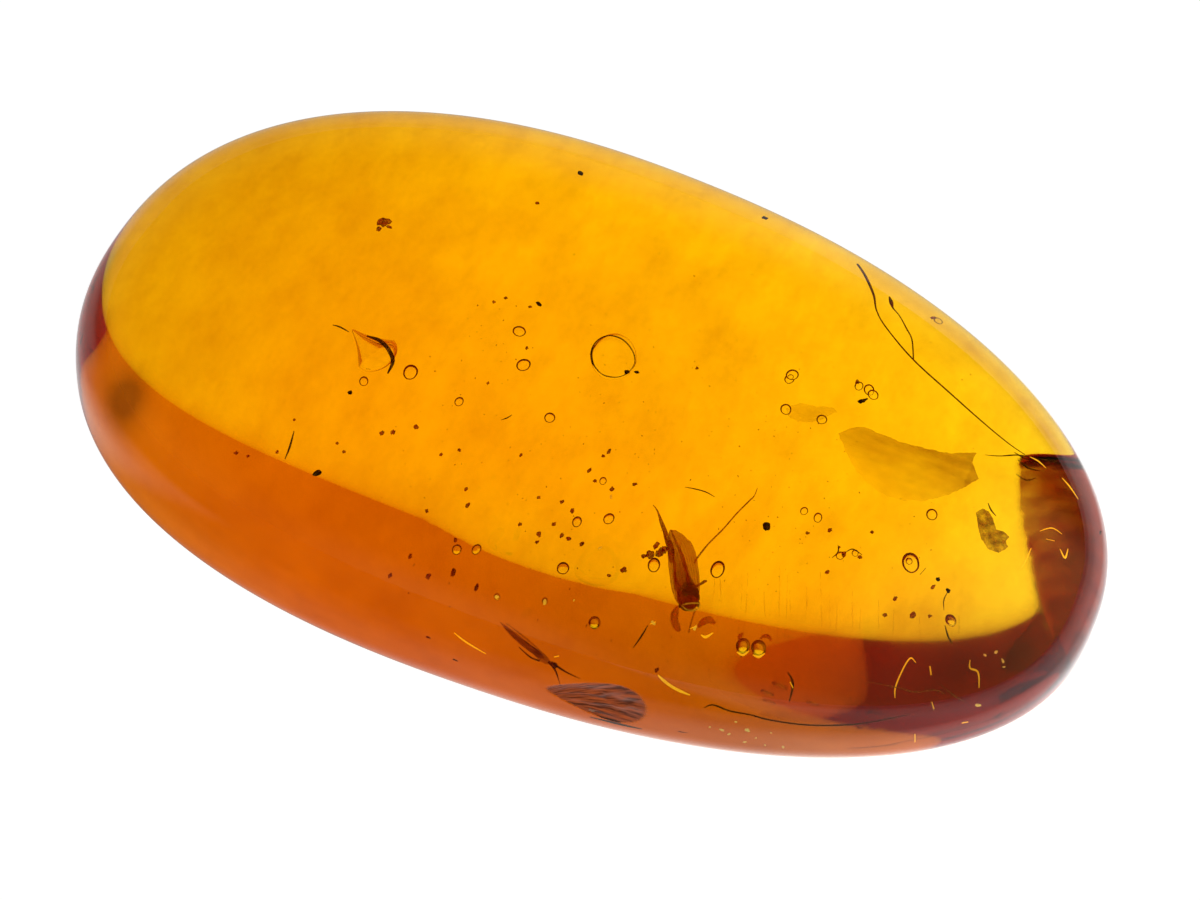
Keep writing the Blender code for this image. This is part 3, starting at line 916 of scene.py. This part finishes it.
# fadeOf gives how dense the flake is at a place on it, one being its own look
def makeFlake(name, flake, slot, fadeOf):
    outline = [(laid(x, y, flake["place"].z) - flake["place"]).xy for x, y in flake["pixels"]]
    edge = raggedOutline(outline, flake["ragged"])
    random.seed(5)
    low = [min(point[axis] for point in edge) for axis in (0, 1)]
    high = [max(point[axis] for point in edge) for axis in (0, 1)]
    step, jitter, margin = 0.11, 0.03, 0.06
    inner = []
    x = low[0]
    while x < high[0]:
        y = low[1]
        while y < high[1]:
            point = Vector((x + random.uniform(-jitter, jitter), y + random.uniform(-jitter, jitter)))
            if min((point - other).length for other in edge) > margin:
                inner.append(point)
            y += step
        x += step
    points = edge + inner
    rim = [(k, (k + 1) % len(edge)) for k in range(len(edge))]
    coords, _, triangles, *_ = delaunay_2d_cdt(points, rim, [list(range(len(edge)))], 1, 1e-4)
    bm = bmesh.new()
    sheet = [
        bm.verts.new((point.x, point.y, flake["wave"] * noise.noise(Vector((point.x, point.y, 3)) * 1.6)))
        for point in coords
    ]
    faces = [bm.faces.new([sheet[k] for k in triangle]) for triangle in triangles]
    bmesh.ops.recalc_face_normals(bm, faces=faces)
    bmesh.ops.solidify(bm, geom=faces, thickness=flake["thick"])
    for vert in [vert for vert in bm.verts if not vert.link_faces]:
        bm.verts.remove(vert)
    layer = bm.verts.layers.float.new("body")
    for vert in bm.verts:
        vert[layer] = fadeOf(vert.co)
    tilt = Matrix.Rotation(flake["tilt"][1], 4, "Y") @ Matrix.Rotation(flake["tilt"][0], 4, "X")
    bm.transform(Matrix.Scale(mm, 4) @ Matrix.Translation(flake["place"]) @ tilt)
    obj = addObject(name, bm, sealedMaterial(name, flake["look"]))
    settle(obj, slot, *([name.replace("_torn", "")] if name.endswith("_torn") else []))


# the leaf is denser along its upper edge and at its right end
def leafFade(place):
    dense = 0.9 + 0.42 * (0.9 * place.y - 0.4 * place.x) + 0.22 * place.x
    return min(max(dense, 0.2), 1.25) * (1.3 if place.x > 2.5 else 1.0)


makeFlake("leaf_fragment_torn", leaf, "leaf_brown", leafFade)
makeFlake("leaf_scrap", scrap, "leaf_brown", lambda place: 1.0)
makeFlake("bark_flake_torn", bark, "bark_brown", lambda place: 1.0)


# the long fibre and its side branch: x, y and radius in mm
fibre = {
    "stem": ((7.2, 10.17, 0.05), (7.8, 9.67, 0.06), (8.5, 8.92, 0.05), (8.95, 8.22, 0.03), (9.7, 7.57, 0.03),
             (11.3, 6.62, 0.035), (13.4, 5.72, 0.035), (15.1, 5.07, 0.03), (16.4, 4.62, 0.025), (17.2, 4.47, 0.02)),
    "branch": ((9.1, 9.17, 0.03), (9.3, 8.92, 0.09), (9.5, 8.67, 0.035), (9.9, 8.42, 0.025), (10.4, 7.97, 0.03),
               (10.85, 7.52, 0.03), (11.3, 6.62, 0.03)),
    "height": 4.8,
    "look": {"scale": 5000, "dark": (0.04, 0.003, 0.0), "light": (0.22, 0.02, 0.002), "alpha": (0.7, 1.0),
             "roughness": 0.4},
}


def makeFibre():
    bm = bmesh.new()
    for route in (fibre["stem"], fibre["branch"]):
        addStrand(bm, [(x, y, fibre["height"] + 0.04 * math.sin(x * 2), radius) for x, y, radius in route], 8, 8)
    settle(addObject("plant_fibre_strand", bm, sealedMaterial("fibre_brown", fibre["look"])), "fibre_brown",
           "plant_fibre")


makeFibre()
print("flakes and fibre made")


# dark grains and pale crumbs
grains = {
    "black": {"scale": 9000, "dark": (0.008, 0.003, 0.001), "light": (0.05, 0.015, 0.004), "alpha": (1, 1),
              "roughness": 0.4},
    "brown": {"scale": 9000, "dark": (0.2, 0.004, 0.0), "light": (0.6, 0.035, 0.003), "alpha": (0.5, 0.9),
              "roughness": 0.4},
    # pale crumbs, real in colour, with a painted glow standing in for the light that reaches them
    "pale": {"scale": 5000, "dark": (0.7, 0.5, 0.3), "light": (0.9, 0.8, 0.7), "alpha": (0.5, 0.9),
             "roughness": 0.5, "painted_glow": (1.0, 0.75, 0.5, 0.45)},
    # pixel, share of the depth, radius in pixels
    "paleList": (
        (722, 730, 0.05, 1.6), (729, 734, 0.05, 1.3), (747, 730, 0.05, 1.9), (745, 742, 0.04, 1.2),
        (783, 747, 0.03, 1.6), (736, 722, 0.06, 1.0), (756, 738, 0.04, 1.0), (765, 745, 0.04, 1.1),
        # those at 593, 711 and 590, 709.5 are a painted highlight on the chip
        (710, 727, 0.06, 0.9), (771, 733, 0.05, 0.9), (593, 711, 0.02, 1.6), (590, 709.5, 0.02, 1.2),
        (985, 655, 0.2, 1.2), (996, 652, 0.2, 1.4), (1003, 661, 0.2, 1.5), (1004, 667, 0.2, 0.9),
        (545, 601, 0.3, 2.2), (497, 597, 0.3, 1.6), (695, 628, 0.3, 1.8), (653, 623, 0.3, 1.6),
        (600, 548, 0.4, 1.4), (611, 497, 0.4, 1.6), (978, 705, 0.2, 1.8), (574, 600, 0.3, 0.9),
    ),
    "blackOnes": {(317.5, 473), (766.7, 526.3), (539, 304), (627, 372), (637, 372), (580, 173), (765, 218), (862, 401),
                  (938, 579), (948, 591), (1100.5, 532.5), (350, 393)},
    # pixel, share of the depth, half length and half width in pixels, turn in degrees
    "list": (
        (317.5, 473, 0.1, 5.2, 2.3, 30), (766.7, 526.3, 0.4, 4.2, 3.2, 95), (539, 304, 0.4, 3.6, 1.8, -50),
        (383, 222, 0.1, 6, 4.6, 20), (350, 393, 0.5, 2.2, 1.6, 0), (382, 433, 0.5, 2.4, 1.6, 20),
        (393, 432, 0.5, 2.2, 1.6, 80), (416, 427, 0.45, 2.6, 1.8, 40), (337, 443, 0.1, 1.6, 1.2, 0),
        (344, 452, 0.1, 1.6, 1.2, 0), (294, 420, 0.1, 1.5, 1.2, 0), (562, 502, 0.45, 2, 1.4, 30),
        (572, 511, 0.45, 2.4, 1.5, 70), (554, 524, 0.5, 2, 1.4, 0), (562, 535, 0.5, 2.4, 1.6, 60),
        (569, 538, 0.5, 2, 1.4, 0), (520, 524, 0.45, 1.8, 1.3, 0), (539, 534, 0.5, 2.6, 1.6, 80),
        (537, 542, 0.5, 1.6, 1.2, 0), (582, 544, 0.5, 2.2, 1.4, 30), (589, 471, 0.45, 2.6, 1.3, 60),
        (595, 481, 0.5, 1.8, 1.3, 0), (609, 451, 0.45, 2.6, 1.4, 50), (603, 456, 0.5, 1.8, 1.2, 0),
        (612, 489, 0.5, 2.2, 1.6, 20), (635, 484, 0.45, 3, 1.6, 10), (539, 497, 0.5, 1.7, 1.2, 0),
        (521, 455, 0.5, 1.6, 1.2, 0), (459, 450, 0.5, 1.6, 1.2, 0), (441, 455, 0.5, 1.5, 1.2, 0),
        (466, 489, 0.5, 2, 1.3, 70), (468, 504, 0.5, 2.2, 1.4, 40), (427, 511, 0.5, 1.6, 1.2, 0),
        (410, 557, 0.4, 2, 1.5, 40), (390, 576, 0.4, 2.6, 1.4, 60), (428, 577, 0.4, 2.4, 1.6, 30),
        (624, 570, 0.45, 3, 1.6, 25), (830, 530, 0.45, 2.4, 1.6, 20), (807, 533, 0.5, 1.8, 1.3, 0),
        (872, 532, 0.45, 2.4, 1.3, 35), (844, 554, 0.45, 2.6, 1.6, 70), (839, 547, 0.5, 1.6, 1.2, 0),
        (860, 557, 0.5, 2.4, 1.4, 10), (827, 572, 0.45, 2.6, 1.4, 40), (938, 579, 0.4, 1.7, 1.5, 0),
        (933, 587, 0.4, 2.4, 1.6, 60), (948, 591, 0.4, 2.4, 1.7, 80), (895, 599, 0.4, 2.4, 1.3, 65),
        (885, 615, 0.4, 2, 1.4, 20), (913, 615, 0.4, 3, 2, 30), (930, 616, 0.4, 2, 1.2, 0),
        (580, 173, 0.5, 3.4, 1.8, -35), (537, 203, 0.5, 2, 1.5, 0), (765, 218, 0.5, 3.4, 2, -20),
        (933, 318, 0.5, 3.4, 1.6, 20), (527, 348, 0.5, 1.6, 1.2, 0), (488, 383, 0.5, 1.5, 1.2, 0),
        (506, 298, 0.5, 1.8, 1.3, 0), (494, 302, 0.5, 1.6, 1.2, 0), (530, 307, 0.5, 1.6, 1.2, 0),
        (627, 372, 0.4, 2.4, 1.7, 30), (637, 372, 0.4, 2.2, 1.6, 0), (862, 401, 0.45, 4.6, 2, 35),
        (857, 382, 0.5, 2.6, 1.5, 60), (697, 368, 0.5, 1.6, 1.3, 0), (609, 576, 0.45, 1.6, 1.2, 0),
        (236, 453, 0.1, 2, 1.4, 0), (248, 456, 0.1, 1.6, 1.2, 0), (277, 452, 0.1, 1.8, 1.4, 0),
        (379, 229, 0.1, 3, 1.8, 60), (389, 227, 0.1, 3, 1.6, -40), (650, 555, 0.45, 4, 3, 0),
        (660, 552, 0.44, 4, 3, 60), (1100.5, 532.5, 0.02, 2.6, 1.4, 60), (656, 546, 0.42, 3.4, 1.8, 40),
        (665, 549, 0.42, 3.6, 2.2, 70), (644, 556, 0.45, 2.6, 1.6, 20),
    ),
}


def makeGrains():
    bm = bmesh.new()
    scale = bubbles["pixelsPerMm"]
    for index, (x, y, share, longHalf, wideHalf, turn) in enumerate(grains["list"]):
        sizes = (longHalf / scale * mm, wideHalf / scale * 1.2 * mm, wideHalf / scale * mm)
        bearing = shot["turn"] + math.radians(turn)
        # the first few are smooth
        addBlob(bm, seen(x, y, share) * mm, sizes, Matrix.Rotation(bearing, 4, "Z"), rough=0.35 if index < 3 else 0.9,
                seed=index, materialIndex=0 if (x, y) in grains["blackOnes"] else 1)
    materials = [sealedMaterial("grain_" + name, grains[name]) for name in ("black", "brown")]
    settle(addObject("dark_grains", bm, *materials), "insect_brown")
    bm = bmesh.new()
    for index, (x, y, share, radius) in enumerate(grains["paleList"]):
        size = radius / scale * mm
        addBlob(bm, seen(x, y, share) * mm, (size * 1.5, size * 0.8, size * 0.8),
                Matrix.Rotation(index * 1.3, 4, "Z"), rough=0.8, seed=index)
    settle(addObject("pale_crumbs", bm, sealedMaterial("grain_pale", grains["pale"])), "fibre_brown")


makeGrains()
makeBubbleShadeRings()


# the faintest specks lie on two flow layers inside the resin: middle, half size, count, seed
dust = {
    "layers": (((2.5, -3.0, 5.6), (9.0, 5.0), 150, 3), ((6.0, 1.5, 6.2), (11.0, 6.0), 90, 8)),
    "size": 0.028,
    "look": {"scale": 9000, "dark": (0.2, 0.015, 0.002), "light": (0.6, 0.1, 0.01), "alpha": (0.3, 0.8),
             "relief": 0.005},
}


def dustNodes(material):
    tree = bpy.data.node_groups.new("dust", "GeometryNodeTree")
    sockets = {}
    for name, kind in (("Geometry", "NodeSocketGeometry"), ("Count", "NodeSocketInt"), ("Seed", "NodeSocketInt"),
                       ("Size", "NodeSocketFloat")):
        sockets[name] = tree.interface.new_socket(name=name, in_out="INPUT", socket_type=kind).identifier
    tree.interface.new_socket(name="Geometry", in_out="OUTPUT", socket_type="NodeSocketGeometry")
    given = addNode(tree, "NodeGroupInput").outputs
    scatter = addNode(tree, "GeometryNodeDistributePointsOnFaces", {
        "Mesh": given["Geometry"], "Density": given["Count"], "Seed": given["Seed"],
    })
    lump = addNode(tree, "GeometryNodeMeshIcoSphere", {"Radius": given["Size"], "Subdivisions": 1})
    sizes = {0: (0.4, 0.3, 0.3), 1: (1.8, 1.0, 0.9)}
    turns = {1: (math.pi, math.pi, math.pi)}
    place = addNode(tree, "GeometryNodeInstanceOnPoints", {
        "Points": scatter.outputs["Points"],
        "Instance": lump.outputs["Mesh"],
        "Scale": addNode(tree, "FunctionNodeRandomValue", sizes, data_type="FLOAT_VECTOR").outputs[0],
        "Rotation": addNode(tree, "FunctionNodeRandomValue", turns, data_type="FLOAT_VECTOR").outputs[0],
    })
    realize = addNode(tree, "GeometryNodeRealizeInstances", {"Geometry": place.outputs["Instances"]})
    paint = addNode(tree, "GeometryNodeSetMaterial", {"Geometry": realize.outputs["Geometry"], "Material": material})
    addNode(tree, "NodeGroupOutput", {"Geometry": paint.outputs["Geometry"]})
    return tree, sockets


def makeDust():
    tree, sockets = dustNodes(sealedMaterial("dust_brown", dust["look"]))
    for index, (centre, half, count, seed) in enumerate(dust["layers"]):
        bm = bmesh.new()
        bmesh.ops.create_grid(bm, x_segments=24, y_segments=24, size=1.0)
        for vert in bm.verts:
            x, y = vert.co.x * half[0], vert.co.y * half[1]
            lift = 1.1 * noise.noise(Vector((x, y, seed)) * 0.35)
            vert.co = Vector((centre[0] + x, centre[1] + y, centre[2] + lift)) * mm
        layer = addObject(f"dust_{index}", bm)
        modifier = layer.modifiers.new("scatter", "NODES")
        modifier.node_group = tree
        area = 4 * half[0] * half[1] * mm * mm
        modifier[sockets["Count"]] = int(count / area)
        modifier[sockets["Seed"]] = seed
        modifier[sockets["Size"]] = dust["size"] * mm
        depsgraph = bpy.context.evaluated_depsgraph_get()
        mesh = bpy.data.meshes.new_from_object(layer.evaluated_get(depsgraph), depsgraph=depsgraph)
        layer.modifiers.remove(modifier)
        layer.data = mesh
        settle(layer, "insect_brown")
        print("dust:", len(mesh.polygons), "faces")


makeDust()


# fine strands: pixels along each, share of the depth, radius in pixels
strands = {
    "brown": {
        "look": {"scale": 6000, "dark": (0.03, 0.008, 0.002), "light": (0.12, 0.035, 0.006), "alpha": (0.7, 1.0)},
        "list": (
            (((294, 431), (290, 446), (285, 459)), 0.1, 1.1),
            (((367, 336), (379, 340), (388, 349), (393, 361), (388, 373)), 0.43, 2.0),
            (((598, 371), (592, 362), (591.5, 350), (598, 340), (609, 335.5), (622, 339), (632, 349), (635.5, 361),
              (630, 371), (619, 376.5), (606, 375.5), (598, 371)), 0.42, 0.7),
            (((600, 372), (593.5, 364), (592, 352), (597, 343)), 0.42, 0.7),
            # a dark strand along the bottom edge under the chip: painted contact shadow
            (((590, 717), (608, 721.4), (626, 725.6), (642, 729.2)), 0.1, 1.3),
            (((1014, 452), (1024, 458), (1038, 464)), 0.3, 0.9),
            (((1018, 460), (1028, 468), (1040, 471)), 0.3, 1.1),
            (((1000, 456), (1018, 455), (1040, 459), (1062, 462)), 0.3, 0.8),
            (((1016, 474), (1026, 480), (1036, 478)), 0.3, 0.8),
            (((985, 455), (1000, 456), (1022, 455)), 0.4, 0.6),
            (((648, 625), (641, 637), (633, 648)), 0.3, 0.9),
            (((948, 591), (944, 600), (944, 610)), 0.4, 0.6),
            (((685, 487), (695, 489), (706, 492), (715, 497)), 0.45, 0.6),
            (((501, 420), (507, 418), (512, 415)), 0.45, 0.7),
            (((945, 625), (948, 636), (953, 645)), 0.35, 0.9),
            (((788, 672), (793, 684), (789, 702)), 0.3, 1.2),
            (((333, 325), (340, 327), (349, 332)), 0.45, 0.9),
            (((988, 503), (991, 510), (996, 516)), 0.45, 0.9),
            (((704, 708), (713, 705), (730, 711), (751, 715), (770, 720), (809, 725), (858, 724), (910, 714)),
             0.1, 0.8),
            (((832, 558), (838, 552), (838, 545)), 0.45, 0.7),
            (((920, 575), (926, 568)), 0.4, 0.6),
            (((846, 552), (853, 549), (862, 555)), 0.45, 0.7),
        ),
    },
    # faint streaks that hang from the boundary: foot, rise and lean in pixels
    "hanging": {
        "look": {"scale": 4000, "dark": (0.6, 0.12, 0.01), "light": (0.7, 0.2, 0.02), "alpha": (0.0, 0.12),
                 "relief": 0.005},
        "list": tuple(
            (((x, y), (x + 0.6 * lean, y - rise * 0.45), (x + lean, y - rise)), 0.93, 0.65)
            for x, y, rise, lean in (
                (713, 600, 22, 2), (721, 606, 38, -1), (741, 608, 26, 1), (746, 612, 40, 2), (765, 616, 24, -1),
                (779, 617, 52, 1), (786, 619, 44, 2), (791, 620, 30, -1), (806, 622, 36, 1), (822, 627, 56, -2),
                (829, 629, 34, 1), (836, 631, 26, 1), (853, 633, 44, -1), (859, 636, 28, 2), (879, 636, 38, 0),
                (893, 638, 30, 1), (921, 640, 24, -1), (958, 637, 22, 1),
            )
        ),
    },
    "violet": {
        "look": {"scale": 6000, "dark": (0.3, 0.12, 0.16), "light": (0.5, 0.25, 0.3), "alpha": (0.3, 0.6),
                 "relief": 0.005},
        "list": (
            (((865, 681), (899, 688), (915, 692), (935, 690), (945, 694)), 0.2, 0.6),
            (((940, 684), (955, 696), (965, 702)), 0.2, 0.7),
        ),
    },
    # pale marks with a faint painted glow
    "pale": {
        "look": {"scale": 6000, "dark": (0.5, 0.35, 0.15), "light": (0.8, 0.65, 0.4), "alpha": (0.35, 0.6),
                 "relief": 0.005, "painted_glow": (1.0, 0.7, 0.4, 0.15)},
        "list": (
            (((682, 605), (686, 609.5), (692, 611), (698, 609), (699.5, 604), (694, 603), (687, 604), (682, 605)),
             0.33, 0.8),
            (((931, 702), (934, 711)), 0.12, 0.9),
        ),
    },
    "red": {
        "look": {"scale": 4000, "dark": (0.5, 0.03, 0.008), "light": (0.8, 0.06, 0.02), "alpha": (0.35, 0.6),
                 "roughness": 0.3},
        "list": (
            (((678, 606), (675, 613), (674.5, 621), (677, 627), (680, 631)), 0.3, 3.6),
            (((698, 627), (703, 622), (710, 620), (715, 624)), 0.3, 3.4),
            (((740, 641), (740, 636), (743, 633)), 0.26, 2.2),
            (((760, 639), (764, 636), (769, 637), (771, 641)), 0.26, 1.8),
        ),
    },
    # gold fibres and cracks, and painted glints on bubble walls, all with a painted glow
    "gold_fibres_and_painted_glints": {
        "look": {"scale": 5000, "dark": (0.9, 0.5, 0.08), "light": (1.0, 0.7, 0.2), "alpha": (1, 1),
                 "relief": 0.005, "roughness": 0.4, "painted_glow": (1.0, 0.6, 0.08, 0.8)},
        "list": (
            (((454, 633), (466, 642), (486, 654)), 0.25, 0.8),
            (((658, 675), (663, 680), (671, 686), (680, 691), (690, 695)), 0.14, 1.4),
            (((895, 698), (895, 690), (898, 680), (905, 665), (911, 658), (916, 663)), 0.25, 0.7),
            (((930, 666), (931, 675)), 0.25, 1.7),
            (((970, 660), (970, 668), (978, 672), (979, 688)), 0.25, 0.9),
            (((932, 702), (934, 709)), 0.15, 0.9),
            (((1020, 570), (1026, 560), (1031, 548)), 0.3, 0.8),
            (((1060, 549), (1065, 558), (1068, 549)), 0.3, 1.0),
            (((1030, 457), (1038, 461), (1046, 468)), 0.25, 0.9),
            (((1040, 531), (1052, 528), (1062, 534)), 0.3, 0.6),
            (((1046, 539), (1055, 541)), 0.3, 0.6),
            (((1062, 478), (1070, 487), (1078, 499)), 0.3, 0.9),
            (((701, 635), (706, 637), (713, 633)), 0.28, 1.3),
            (((737, 652), (743, 655), (749, 651)), 0.26, 1.1),
            (((753, 655), (759, 657), (765, 653)), 0.26, 1.1),
            (((790, 682), (793, 688)), 0.26, 1.1),
            (((962, 723), (968, 722)), 0.15, 1.5),
            (((915, 734), (915, 742)), 0.12, 1.2),
            (((690, 629), (696, 626)), 0.28, 1.1),
            (((650, 624), (656, 622)), 0.3, 1.0),
            (((554, 657), (559, 656)), 0.28, 1.2),
        ),
    },
}


def makeStrands():
    scale = bubbles["pixelsPerMm"]
    for name, group in strands.items():
        bm = bmesh.new()
        for pixels, share, radius in group["list"]:
            ends = (0, len(pixels) - 1)
            addStrand(bm, [
                (*seen(x, y, share), radius * (0.4 if index in ends else 1.0) / scale)
                for index, (x, y) in enumerate(pixels)
            ], 5, 6)
        settle(addObject("strands_" + name, bm, sealedMaterial("strand_" + name, group["look"])), "fibre_brown")


makeStrands()
print("grains and strands placed")


# the floor, and how bright the polished skin mirrors it: each light is a gain times its levels along two measures,
# where X and Y are in mm and away is 1 on the pebble's own outline
floor = {
    "half": 0.75,
    "below": 0.02,
    "grey": (0.3, 0.3, 0.3, 1),
    "through": 1.4,
    "outline": (23, 13.6),
    "lights": (
        (1.4, ("Y", -15, 20, ((-12, 0.0), (-2, 0.5), (6, 0.45), (15, 0.42))),  # beside it
         ("away", 0, 4, ((1.0, 1.0), (1.7, 0.5), (3.4, 0.0)))),
        (1.4, ("X", -90, 90, ((-80, 0.05), (-20, 0.12), (15, 0.22), (60, 0.06))),  # far behind
         ("Y", -25, 10, ((-20, 0.0), (8, 1.0)))),
        (1.4, ("X", -25, 40, ((14, 0.0), (22, 0.4), (34, 0.7))),  # off the thin end
         ("away", 0, 8, ((1.0, 1.0), (3.0, 0.6), (7.0, 0.25)))),
        (1.4, ("X", -45, -15, ((-40, 0.1), (-26, 0.55), (-20, 0.0))),  # off the blunt end
         ("away", 0, 4, ((1.0, 1.0), (1.8, 0.3), (2.4, 0.0)))),
        (3.0, ("X", -25, 30, ((-20, 0.03), (-8, 0.12), (3, 0.27), (11, 0.52), (17, 0.8), (25, 1.0))),  # close by
         ("away", 0, 4, ((1.0, 1.0), (1.18, 0.45), (1.5, 0.12), (1.9, 0.0)))),
    ),
}


def makeFloor():
    bm = bmesh.new()
    bmesh.ops.create_grid(bm, x_segments=1, y_segments=1, size=floor["half"])
    bm.transform(Matrix.Translation((0, 0, -floor["below"] * mm)))
    material, shader = newMaterial("light_table")
    tree = material.node_tree
    x, y, _ = axesOf(tree, "Object")
    # distance from the middle
    long, wide = floor["outline"]
    coords = addNode(tree, "ShaderNodeTexCoord").outputs["Object"]
    oval = {0: coords, 1: (1 / (long * mm), 1 / (wide * mm), 0)}
    oval = addNode(tree, "ShaderNodeVectorMath", oval, operation="MULTIPLY").outputs["Vector"]
    away = addNode(tree, "ShaderNodeVectorMath", {0: oval}, operation="LENGTH").outputs["Value"]
    measures = {"X": (x, mm), "Y": (y, mm), "away": (away, 1.0)}
    lights = []
    for gain, *sides in floor["lights"]:
        levels = []
        for name, low, high, stops in sides:
            value, unit = measures[name]
            stops = [(place * unit, level) for place, level in stops]
            levels.append(levelsAlong(value, low * unit, high * unit, stops))
        lights.append(combine("MULTIPLY", *levels, gain))
    ray = addNode(tree, "ShaderNodeLightPath").outputs
    strength = levelFor(ray["Is Reflection Ray"], floor["through"], combine("MAXIMUM", *lights))
    feed(shader, {
        "Base Color": floor["grey"],
        "Roughness": 0.9,
        "Specular IOR Level": 0.0,
        "Emission Color": (1, 1, 1, 1),
        "Emission Strength": levelFor(ray["Is Camera Ray"], strength, 1.0),
    })
    addObject("floor", bm, material, smooth=False)


# the world: rays that pass through see an even glow, mirrored ones a warm and uneven one
sky = {"through": 1.5, "warmth": (1.0, 0.88, 0.42)}


def makeWorld():
    world = bpy.data.worlds.new("studio")
    bpy.context.scene.world = world
    world.use_nodes = True
    tree = world.node_tree
    x, y, z = axesOf(tree, "Generated")
    # a soft glow from the right, and low down behind and before
    side = combine("MULTIPLY", spread(x, 0.3, 0.75, 0.0, 0.42), spread(y, 0.65, 0.85, 1.0, 0.0),
                   spread(y, -0.45, 0.15, 0.65, 1.0))
    behind = combine("MULTIPLY", spread(x, -0.5, -0.2, 0.08, 0.3), spread(x, -0.1, 0.15, 1.0, 0.15))
    before = combine("MULTIPLY", spread(x, 0.0, 0.4, 0.0, 0.3), spread(y, -0.2, 0.2, 1.0, 0.0))
    low = combine("MULTIPLY", spread(z, 0.0, 0.45, 1.0, 0.0), combine("MAXIMUM", behind, before))
    mirrored = addNode(tree, "ShaderNodeLightPath").outputs["Is Reflection Ray"]
    tints = {0: mirrored, 6: (1, 1, 1, 1), 7: (*sky["warmth"], 1)}
    feed(tree.nodes["Background"], {
        "Color": addNode(tree, "ShaderNodeMix", tints, data_type="RGBA").outputs[2],
        "Strength": levelFor(mirrored, sky["through"], combine("MAXIMUM", side, low)),
    })


makeFloor()
makeWorld()
print("floor and light set")
scene = bpy.context.scene
scene.view_settings.view_transform = "Standard"
scene.cycles.max_bounces = 16
scene.cycles.transmission_bounces = 16
scene.cycles.glossy_bounces = 16
scene.cycles.transparent_max_bounces = 24
